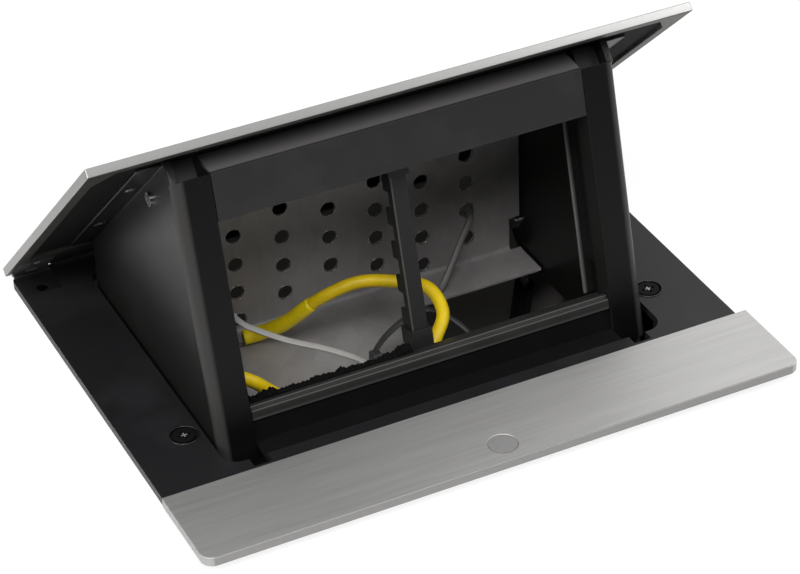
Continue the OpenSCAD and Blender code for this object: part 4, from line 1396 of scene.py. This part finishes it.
@dataclass
class TiltModule:
    """Cheeks with posts, blank plate, mullion, side rails and sill, in millimetres."""

    palette: Palette
    layout: Layout
    cheek_x: float = 94.0
    cheek_edge: float = 0.45
    cheek: Tone = (0.010, 0.010, 0.0095)
    post_r: float = 5.0
    post_in: float = 0.3
    post_soft: float = 0.9
    post_front: Tone = (0.003, 0.003, 0.003)
    post_round: Tone = (0.034, 0.033, 0.032)
    blank_edge: float = 0.35
    blank: Tone = (0.016, 0.0152, 0.0154)
    shelf_from: float = 0.5
    shelf: Tone = (0.10, 0.096, 0.096)
    rail_edge: float = 85.8
    rail_soft: float = 1.5
    rib_width: float = 5.0
    rib_depth: tuple[float, float] = (36.8, 38.0)
    rib_heights: tuple[float, float] = (-108.5, -94.1)
    mullion_edge: float = 0.45
    mullion_half: float = 3.5
    mullion_back: float = 11.0
    sill_edge: float = 0.5
    sill_front: float = 0.6
    sill_top: float = -97.65
    sill_foot: float = -102.05
    sill: Tone = (0.018, 0.0175, 0.017)
    skirt_edge: float = 0.3
    small_edge: float = 0.2
    small_pieces: tuple[str, ...] = (
        "keeper_left", "keeper_right", "header_rail", "mullion_top_clip", "mullion_foot_clip")
    wear: float = 0.2
    rubbed: Tone = (0.055, 0.054, 0.052)
    rubbed_rail: Tone = (0.20, 0.195, 0.185)

    def build(self) -> None:
        """Ease and dress the module's rigid pieces."""
        p = self.palette
        for side in Side:
            ease(f"cheek_{side.word}", self.cheek_edge, self.cheek_finish(side))
        ease("sill", self.sill_edge, self.sill_finish())
        ease("front_skirt", self.skirt_edge, p.skirt)
        for node in self.small_pieces:
            ease(node, self.small_edge, p.inner)
        for side in Side:
            rail = self.rail_finish(side)
            ease(f"side_rail_{side.word}", self.small_edge, rail)
            self.rail_foot(side, rail)
        ease("blank_plate", self.blank_edge, self.blank_finish())
        ease("mullion", self.mullion_edge, self.mullion_finish())
        dress(p.steel, "cheek_side_screws")

    def rail_foot(self, side: Side, material: bpy.types.Material) -> None:
        """Carry the rear rib of a side rail, with the painted highlight along its edge, down to the sill.

        Args:
            side: Which rail.
            material: The rail's finish.
        """
        near, far = self.rib_depth
        foot, top = self.rib_heights
        bm = bmesh.new()
        for v in bmesh.ops.create_cube(bm, size=1.0)["verts"]:
            across, back, rise = (c + 0.5 for c in v.co)
            v.co = self.layout.on_face(side.value * (self.rail_edge + across * self.rib_width),
                                       near + back * (far - near), foot + rise * (top - foot))
        bmesh.ops.recalc_face_normals(bm, faces=bm.faces)
        obj = new_piece(f"rail_foot_{side.word}", bm, material)
        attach(obj, Body.MODULE.value)

    def rail_finish(self, side: Side) -> bpy.types.Material:
        """Inner plastic with a painted highlight along the edge beside the bay.

        Args:
            side: Which rail.

        Returns:
            The material.
        """
        # Painted highlight along the rail's edge beside the bay
        return inner_plastic(f"rail_{side.word}_plastic", Facing(
            (-side.value, 0.0, 0.0), -self.rail_edge * MM, self.rubbed_rail, self.rail_soft * MM))

    def blank_finish(self) -> bpy.types.Material:
        """Dark sheet with painted light on the shelf above its fold."""
        rise = self.layout.face_up()
        fold = self.layout.on_face(0.0, 0.0, self.shelf_from)
        # Painted light: the shelf gets a paler tone
        shelf = Facing(rise, fold.dot(Vector(rise)), self.shelf)
        return MouldedBlack("blank_anodised", self.blank, roughness=0.42, grain=0.12, sides=(shelf,)).make()

    def mullion_finish(self) -> bpy.types.Material:
        """Inner plastic with a painted highlight along the left edge of its front."""
        arris = (self.layout.face_out() + Vector((-1.0, 0.0, 0.0))).normalized()
        corner = self.layout.on_face(-self.mullion_half, self.mullion_back, 0.0)
        wear = self.wear * MM
        # Painted highlight along the mullion's left arris
        return inner_plastic("mullion_plastic", Facing(
            tuple(arris), corner.dot(arris) - wear, self.rubbed, wear))

    def sill_finish(self) -> bpy.types.Material:
        """Black plastic with painted highlights along the upper edge of its front and, wider, along the
        lower one.
        """
        lay = self.layout
        out, rise = lay.face_out(), Vector(lay.face_up())
        wear = self.wear * MM
        sides = []
        # Painted highlights along the sill's two arrises
        for turn, height, wide in ((1.0, self.sill_top, 1.0), (-1.0, self.sill_foot, 4.0)):
            arris = (out + turn * rise).normalized()
            level = lay.on_face(0.0, self.sill_front, height).dot(arris)
            sides.append(Facing(tuple(arris), level - wear, self.rubbed, wear * wide))
        return MouldedBlack("sill_plastic", self.sill, roughness=0.4, grain=0.16, sides=tuple(sides)).make()

    def cheek_finish(self, side: Side) -> bpy.types.Material:
        """Black plastic with painted shade on the post's front and a painted highlight on its round edge.

        Args:
            side: Which cheek.

        Returns:
            The material.
        """
        lay = self.layout
        front = lay.face_out()
        edge = (front + Vector((side.value, 0.0, 0.0))).normalized()
        middle = lay.on_face(side.value * (self.cheek_x - self.post_r), self.post_r, 0.0)
        level = middle.dot(edge) + (self.post_r - self.post_in) * MM
        # Painted shade on the post's front and a painted highlight along its round edge
        sides = (
            Facing(tuple(front), lay.on_face(0.0, 0.0, 0.0).dot(front), self.post_front),
            Facing(tuple(edge), level, self.post_round, self.post_soft * MM))
        return MouldedBlack(
            f"cheek_{side.word}_plastic", self.cheek, roughness=0.34, grain=0.16, gloss=0.19,
            sides=sides).make()


@dataclass
class SillFoam:
    """Torn foam strip on the sill, in millimetres.

    Attributes:
        seed: Seed of the tear.
        columns: Steps along the strip.
        rows: Points over its top.
        start: Left end across the box.
        end: Right end across the box.
        depth: Nearest and furthest depth behind the face.
        foot: Height of its flat foot along the face.
        height: Its height where nothing is torn off.
        least: Its least height.
        tear_start: Share of the height left at the left end.
        tear_least: Least share that the tear leaves.
        tear_step: Most that the share changes from column to column.
        near_share: Height of the near edge as a share of the far one.
        lump: Most that a point stands out or in.
        stray: Most that a point moves in depth.
    """

    palette: Palette
    layout: Layout
    seed: int = 7
    columns: int = 120
    rows: int = 7
    start: float = -77.4
    end: float = -6.0
    depth: tuple[float, float] = (7.1, 10.9)
    foot: float = -97.6
    height: float = 3.4
    least: float = 0.4
    tear_start: float = 0.5
    tear_least: float = 0.25
    tear_step: float = 0.16
    near_share: float = 0.55
    lump: float = 0.3
    stray: float = 0.15

    def ring(self, rng: random.Random, x: float, tear: float) -> list[Vector]:
        """Outline of the strip at one place across the box.

        Args:
            rng: Source of the unevenness.
            x: The place.
            tear: Share of the height that is left there.

        Returns:
            Points in metres, from the near foot over the top to the far foot.
        """
        near, far = self.depth
        points = [self.layout.on_face(x, near, self.foot)]
        for j in range(self.rows):
            t = j / (self.rows - 1)
            share = self.near_share + (1.0 - self.near_share) * t
            top = self.height * tear * share + rng.uniform(-self.lump, self.lump)
            depth = near + (far - near) * t + rng.uniform(-self.stray, self.stray) * (0.0 < t < 1.0)
            points.append(self.layout.on_face(x, depth, self.foot + max(self.least, top)))
        points.append(self.layout.on_face(x, far, self.foot))
        return points

    def build(self) -> None:
        """Make the strip in place of its CAD solid."""
        rng = random.Random(self.seed)
        bm = bmesh.new()
        step = (self.end - self.start) / self.columns
        tear = self.tear_start
        rings: list[list[bmesh.types.BMVert]] = []
        for i in range(self.columns + 1):
            tear = min(1.0, max(self.tear_least, tear + rng.uniform(-self.tear_step, self.tear_step)))
            rings.append([bm.verts.new(v) for v in self.ring(rng, self.start + i * step, tear)])
        m = len(rings[0])
        for a, b in zip(rings, rings[1:]):
            for j in range(m):
                k = (j + 1) % m
                bm.faces.new((a[j], a[k], b[k], b[j]))
        close_ends(bm, rings)
        obj = new_piece("sill_foam_torn", bm, self.palette.foam)
        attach(obj, Body.MODULE.value)
        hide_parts("sill_foam")


@dataclass
class CableTray:
    """Perforated tray with rolled rims round its holes, in millimetres."""

    palette: Palette
    layout: Layout
    sheet_edge: float = 0.12
    back: float = 48.6
    hole_r: float = 3.3
    pitch_x: float = 21.5
    pitch_z: float = 14.0
    first: float = 6.9
    columns_aside: int = 3
    rows_aside: int = 2
    rim_out: float = 0.12
    rim_r: float = 0.2

    def build(self) -> None:
        """Ease the sheet and roll its holes' rims."""
        ease("cable_tray", self.sheet_edge, self.palette.zinc)
        front = (self.layout.hinge_y - self.back) * MM
        spots = []
        for i in range(-self.columns_aside, self.columns_aside + 1):
            odd = abs(i) % 2
            for k in range(odd - self.rows_aside, self.rows_aside + 1):
                height = self.layout.hinge_z + self.first + (k - odd / 2) * self.pitch_z
                spots.append(((i * self.pitch_x * MM, front, height * MM), (0.0, -1.0, 0.0)))
        rims = HoleRim("punched_rim", self.palette.steel, self.hole_r + self.rim_out, self.rim_r)
        rims.put("tray_hole_rims", spots, Body.MODULE, "galvanised")


@dataclass
class LeadSet:
    """Earth lead with its crimp sleeve and lugs, and the cable ties, in millimetres.

    Attributes:
        route: Chosen points of the lead.
        lead_steps: Samples between two points of the lead.
        round_sides: Corners of the lead's section.
        waists: Waists where the sleeve is shrunk on the crimp.
        waist_in: How far a waist draws in, as a share of the radius.
        lip_shares: Stretches at the sleeve's start and end that narrow to a lip, as shares of its length.
        lips_in: How far the two lips draw in, as shares of the radius.
        left_tie: Chosen points of the left tie.
        right_tie: Chosen points of the right tie.
        loop_tie: Chosen points of the loop over the tray's floor.
        tie_steps: Samples between two points of a tie.
        tail: Stretch of a tie's tail that narrows, as a share of its length.
        tail_in: How far the tail draws in, as a share of the width.
        head: Size of the head of a tie behind the wall.
        head_back: Distance of its middle behind the wall.
        loop_head: Size of the loop's head.
        loop_head_up: Height of its middle over the floor.
        head_edge: Easing of a head's edges.
    """

    palette: Palette
    route: tuple[Point, ...] = (
        (-46, 47.5, -18), (-40, 46, -17), (-31, 36, -8), (-20, 26, 6), (-5, 20, 13), (10, 14, 12),
        (19, 4, 12), (19.5, -8, 7.2), (12, -16, 1.5), (4, -21, -9), (-12, -23, -18), (-34, -22, -17),
        (-50, -14, -11), (-58, -10, -4), (-66, -10, 4), (-73, -6, 6), (-78, 2, -2), (-79, 5, -12),
        (-78.5, 6, -19.7))
    lead_r: float = 2.7
    lead_steps: int = 14
    round_sides: int = 24
    sleeve_r: float = 3.3
    sleeve_len: float = 40.0
    waists: float = 3.0
    waist_in: float = 0.05
    lip_shares: tuple[float, float] = (0.06, 0.07)
    lips_in: tuple[float, float] = (0.14, 0.12)
    left_tie: tuple[Point, ...] = (
        (-64.5, 63, 18), (-64.5, 50, 19), (-64, 28, 20), (-61.5, 10, 18.6), (-54.8, 4, 15.2),
        (-46.3, -4, 12.9), (-32.7, -12, 8.9), (-20, -16.2, 1.2), (-14, -18, -8))
    right_tie: tuple[Point, ...] = (
        (64.5, 63, 4), (64.5, 55, 3), (57, 50, -5), (46, 43, -16.5), (40, 40, -20.5))
    loop_tie: tuple[Point, ...] = (
        (-2.5, 11, -17.5), (-2, 10.5, -15), (1.5, 7.5, -7.5), (9.5, 6, -1.2), (18, 6, 0.4), (26.5, 4, -4),
        (33, -3, -10), (35, -6, -17), (35.5, -7, -24))
    tie_w: float = 2.8
    tie_t: float = 1.2
    tie_steps: int = 12
    tail: float = 0.06
    tail_in: float = 0.45
    wall_back: float = 59.7
    floor: float = -22.3
    head: Point = (5.4, 4.4, 7.6)
    head_back: float = 2.3
    loop_head: Point = (4.4, 5.4, 5.0)
    loop_head_up: float = 2.55
    head_edge: float = 0.8

    def build(self) -> None:
        """Make the lead, its sleeve and the ties."""
        p = self.palette
        dress(p.steel, "earth_lugs", "earth_screws")
        self.lead()
        across, along = Vector((1, 0, 0)), Vector((0, 1, 0))
        for node, route, nylon in (("cable_tie_left", self.left_tie, p.tie),
                                   ("cable_tie_right", self.right_tie, p.tie_dull)):
            x, _, z = route[0]
            self.tie(node, route, across, ((x, self.wall_back + self.head_back, z), self.head), nylon)
        x, y, _ = self.loop_tie[0]
        loop_head = ((x, y, self.floor + self.loop_head_up), self.loop_head)
        self.tie("cable_tie_loop", self.loop_tie, along, loop_head, p.tie_grey)

    def swell(self, t: float) -> Outline:
        """Outline of the shrunk sleeve along its length.

        Args:
            t: Share of the length.

        Returns:
            The outline in metres.
        """
        (start, end), (start_in, end_in) = self.lip_shares, self.lips_in
        waist = 1.0 - self.waist_in * math.sin(math.pi * t * self.waists) ** 2
        lip = 1.0 - end_in * max(0.0, (t - (1.0 - end)) / end) - start_in * max(0.0, (start - t) / start)
        return round_section(self.sleeve_r * MM * waist * lip, self.round_sides)

    def taper(self, t: float) -> Outline:
        """Outline of a strap that narrows at its tail.

        Args:
            t: Share of the length.

        Returns:
            The outline in metres.
        """
        width = self.tie_w * (1.0 - self.tail_in * max(0.0, (t - (1.0 - self.tail)) / self.tail))
        return strap_section(width * MM, self.tie_t * MM)

    def lead(self) -> None:
        path = smooth_route(self.route, self.lead_steps)
        up = Vector((0, 0, 1))
        bm = sweep(path, lambda t: round_section(self.lead_r * MM, self.round_sides), up)
        lead = new_piece("earth_lead_tube", bm, self.palette.lead)
        done, cover = 0.0, [path[0]]
        for a, b in zip(path, path[1:]):
            done += (b - a).length
            if done > self.sleeve_len * MM:
                break
            cover.append(b)
        sleeve = new_piece("crimp_sleeve_tube", sweep(cover, self.swell, up), self.palette.sleeve)
        length = sum((b - a).length for a, b in zip(path, path[1:]))
        for piece in (lead, sleeve):
            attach(piece, Body.MODULE.value)
        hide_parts("earth_lead")
        LOG.info("lead is %.0f mm long", length / MM)

    def tie(self, node: str, route: tuple[Point, ...], across: Vector, head: tuple[Point, Point],
            material: bpy.types.Material) -> None:
        """Make one tie with its head.

        Args:
            node: CAD node that it stands for.
            route: Chosen points of its strap.
            across: Direction across the strap at its start.
            head: Middle and size of its head.
            material: Its nylon.
        """
        bm = sweep(smooth_route(route, self.tie_steps), self.taper, across)
        middle, size = head
        place = Matrix.Translation(Vector(middle) * MM) @ Matrix.Diagonal((*(c * MM for c in size), 1.0))
        made = bmesh.ops.create_cube(bm, size=1.0, matrix=place)
        edges = list({e for v in made["verts"] for e in v.link_edges})
        bmesh.ops.bevel(bm, geom=edges, offset=self.head_edge * MM, segments=3, affect="EDGES", profile=0.5)
        piece = new_piece(f"{node}_strap", bm, material)
        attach(piece, Body.MODULE.value)
        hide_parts(node)


@dataclass
class LiftGear:
    """Brackets, gas springs and studs that raise the module."""

    palette: Palette
    bracket_edge: float = 0.25

    def build(self) -> None:
        """Ease and dress the lifting pieces."""
        p = self.palette
        for side in Side:
            ease(f"spring_bracket_{side.word}", self.bracket_edge, p.zinc)
        dress(p.tube, "gas_spring_tubes")
        dress(p.steel, "gas_spring_rods", "lift_studs", "bracket_studs", "bracket_screws")


@dataclass
class LatchGear:
    """Latch bar, its guides and springs."""

    palette: Palette
    bar_edge: float = 0.25
    guide_edge: float = 0.15

    def build(self) -> None:
        """Ease and dress the latch."""
        p = self.palette
        ease("latch_bar", self.bar_edge, p.steel)
        ease("latch_guides", self.guide_edge, p.zinc_dark)
        dress(p.steel, "latch_springs")


@dataclass
class DeskClamps:
    """Claws that pull the frame down on the desk."""

    palette: Palette
    claw_edge: float = 0.3

    def build(self) -> None:
        """Ease and dress the claws."""
        for side in Side:
            ease(f"clamp_claw_{side.word}", self.claw_edge, self.palette.zinc_dark)


# Stage, light and camera


@dataclass(frozen=True)
class Softbox:
    """A soft square lamp that looks at the box.

    Attributes:
        at: Its place in metres.
        size: Its width in metres.
        watts: Its power.
        aim: The point that it looks at.
    """

    name: str
    at: Point
    size: float
    watts: float
    aim: Point = (0.0, 0.0, 0.05)

    def hang(self) -> None:
        """Add the lamp to the scene."""
        data = bpy.data.lights.new(self.name, "AREA")
        data.shape = "SQUARE"
        data.size = self.size
        data.energy = self.watts
        obj = bpy.data.objects.new(self.name, data)
        obj.location = self.at
        aim = Vector(self.aim) - Vector(self.at)
        obj.rotation_euler = aim.to_track_quat("-Z", "Y").to_euler()
        bpy.context.scene.collection.objects.link(obj)


@dataclass(frozen=True)
class Viewpoint:
    """The photograph's camera.

    Attributes:
        at: Its place in metres.
        right: Its direction to the right of the picture.
        up: Its direction up the picture.
        back: Its direction out of the picture.
        focal: Focal length in pixels of the picture.
        width: Width of the picture in pixels.
        sensor: Width of the sensor in millimetres.
    """

    at: Point = (-0.39868, -0.86512, 0.67679)
    right: Point = (0.89676399, -0.44142887, -0.0309015)
    up: Point = (0.2734031, 0.4978015, 0.82307012)
    back: Point = (-0.3479441, -0.7465482, 0.56709848)
    focal: float = 2880.795
    width: float = 800.0
    sensor: float = 36.0

    def take(self) -> None:
        """Add the camera and make it the scene's own."""
        data = bpy.data.cameras.new("camera")
        data.sensor_fit = "HORIZONTAL"
        data.sensor_width = self.sensor
        data.lens = self.focal * self.sensor / self.width
        data.clip_start = 0.01
        camera = bpy.data.objects.new("camera", data)
        turn = Matrix((self.right, self.up, self.back)).transposed().to_4x4()
        camera.matrix_world = Matrix.Translation(Vector(self.at)) @ turn
        bpy.context.scene.collection.objects.link(camera)
        bpy.context.scene.camera = camera


@dataclass
class Studio:
    """Pale desk with a dark cut-out, soft light and the camera, in metres.

    Attributes:
        cutout: Half the width and half the depth of the cut-out.
        well: Depth of the dark space below it.
        reach: How far the desk goes to each side.
        level: Height of the desk's top.
        near: Tone of the desk by the box, a painted pool of light round it.
        beyond: Tone of the desk far off, darker than by the box.
        fade: Distances between which the one becomes the other.
        shadow: Share of real shading that shows by the box.
        white: Light of the desk where the camera looks at it.
        well_tone: Tone of the dark space.
        well_glow: Its own light.
        wall_light: Light from all round.
        top_light: Light added from above.
        front_share: Share of the light that comes from the front.
    """

    cutout: tuple[float, float] = (0.121, 0.0984)
    well: float = 0.16
    reach: float = 4.0
    level: float = -0.0003
    near: Tone = (0.85, 0.85, 0.85)
    beyond: Tone = (0.25, 0.25, 0.25)
    fade: tuple[float, float] = (0.22, 0.6)
    shadow: float = 0.2
    white: float = 1.08
    well_tone: Tone = (0.05, 0.05, 0.05)
    well_glow: float = 0.007
    wall_light: float = 0.20
    top_light: float = 0.35
    front_share: float = 0.45
    lamps: tuple[Softbox, ...] = (
        Softbox("left_softbox", (-1.4, -0.2, 0.9), size=0.9, watts=16.0),
        Softbox("top_softbox", (-0.5, -0.95, 1.5), size=0.8, watts=21.0),
        Softbox("right_card", (1.25, -0.95, 1.5), size=0.5, watts=5.6))

    def desk_finish(self) -> bpy.types.Material:
        """A pale surface that the camera sees as white, with some shadow by the box and, to other rays, a
        painted pool of light round the box.
        """
        s = Shader.material("desk_white")
        far = s.radius().ramp(*self.fade)
        path = s.make("ShaderNodeLightPath", {}, {})
        seen = Val(s, path.outputs["Is Camera Ray"]) + Val(s, path.outputs["Is Transmission Ray"])
        share = seen.ramp(0.0, 1.0) * (1.0 - (1.0 - far) * self.shadow)
        glow = s.make("ShaderNodeEmission", {}, {"Color": (1.0, 1.0, 1.0), "Strength": self.white})
        mix = s.make("ShaderNodeMixShader", {}, {0: share, 1: s.surface.outputs[0], 2: glow.outputs[0]})
        out = next(n for n in s.tree.nodes if n.type == "OUTPUT_MATERIAL")
        s.tree.links.new(mix.outputs[0], out.inputs["Surface"])
        return s.finish(Base_Color=s.blend(far, self.near, self.beyond), Roughness=0.8)

    def well_finish(self) -> bpy.types.Material:
        """A dull dark surface with a little light of its own, for the space under the desk."""
        s = Shader.material("well_shade")
        return s.finish(Base_Color=self.well_tone, Roughness=0.9, Emission_Color=(1.0, 0.95, 0.9),
                        Emission_Strength=self.well_glow)

    def corners(self, bm: bmesh.types.BMesh, half: tuple[float, float], z: float
                ) -> list[bmesh.types.BMVert]:
        """Add the corners of a level rectangle about the origin.

        Args:
            bm: The mesh.
            half: Half its width and half its depth.
            z: Its height.

        Returns:
            The four corners in turn.
        """
        x, y = half
        return [bm.verts.new(v) for v in ((-x, -y, z), (x, -y, z), (x, y, z), (-x, y, z))]

    def join(self, bm: bmesh.types.BMesh, first: list[bmesh.types.BMVert],
             second: list[bmesh.types.BMVert]) -> None:
        """Add the four faces between two rectangles.

        Args:
            bm: The mesh.
            first: Corners of the one.
            second: Corners of the other.
        """
        for i in range(4):
            k = (i + 1) % 4
            bm.faces.new((first[i], first[k], second[k], second[i]))

    def stage(self) -> None:
        """Lay the desk round the cut-out, and the dark space below."""
        top = bmesh.new()
        outer = self.corners(top, (self.reach, self.reach), self.level)
        self.join(top, outer, self.corners(top, self.cutout, self.level))
        desk = new_piece("desk", top, self.desk_finish())
        box = bmesh.new()
        rim = self.corners(box, self.cutout, self.level)
        foot = self.corners(box, self.cutout, self.level - self.well)
        self.join(box, rim, foot)
        box.faces.new(foot)
        well = new_piece("desk_well", box, self.well_finish())

    def light(self) -> None:
        """Light the box softly, brighter from the right, from above and from behind."""
        world = bpy.data.worlds.new("soft_white")
        s = Shader(world)
        across, away, up = s.split(s.place())
        right = across.ramp(-0.1, 0.8) * up.ramp(-0.05, 0.3)
        above = up.ramp(0.45, 1.0) * self.top_light
        behind = away.ramp(-0.7, 0.0) * (1.0 - self.front_share)
        glow = (self.wall_light + right + above) * (self.front_share + behind)
        path = s.make("ShaderNodeLightPath", {}, {})
        seen = Val(s, path.outputs["Is Camera Ray"])
        s.finish(Color=(1.0, 1.0, 1.0), Strength=glow * (1.0 - seen) + seen)
        bpy.context.scene.world = world
        for lamp in self.lamps:
            lamp.hang()

    def build(self) -> None:
        """Set stage, light and camera."""
        self.stage()
        self.light()
        Viewpoint().take()
        bpy.context.scene.view_settings.view_transform = "Standard"


def main() -> None:
    """Build the looks in order."""
    logging.basicConfig(level=logging.INFO, format="%(name)s: %(message)s")
    palette, layout = Palette(), Layout()
    Studio().build()
    assemblies = (
        TopPlates(palette, layout), FramePlate(palette, layout), LidHinges(palette, layout),
        TiltModule(palette, layout), SillFoam(palette, layout), CableTray(palette, layout),
        LeadSet(palette), LiftGear(palette), LatchGear(palette), DeskClamps(palette))
    for assembly in assemblies:
        assembly.build()
        LOG.info("%s done", type(assembly).__name__)


if __name__ == "__main__":
    main()
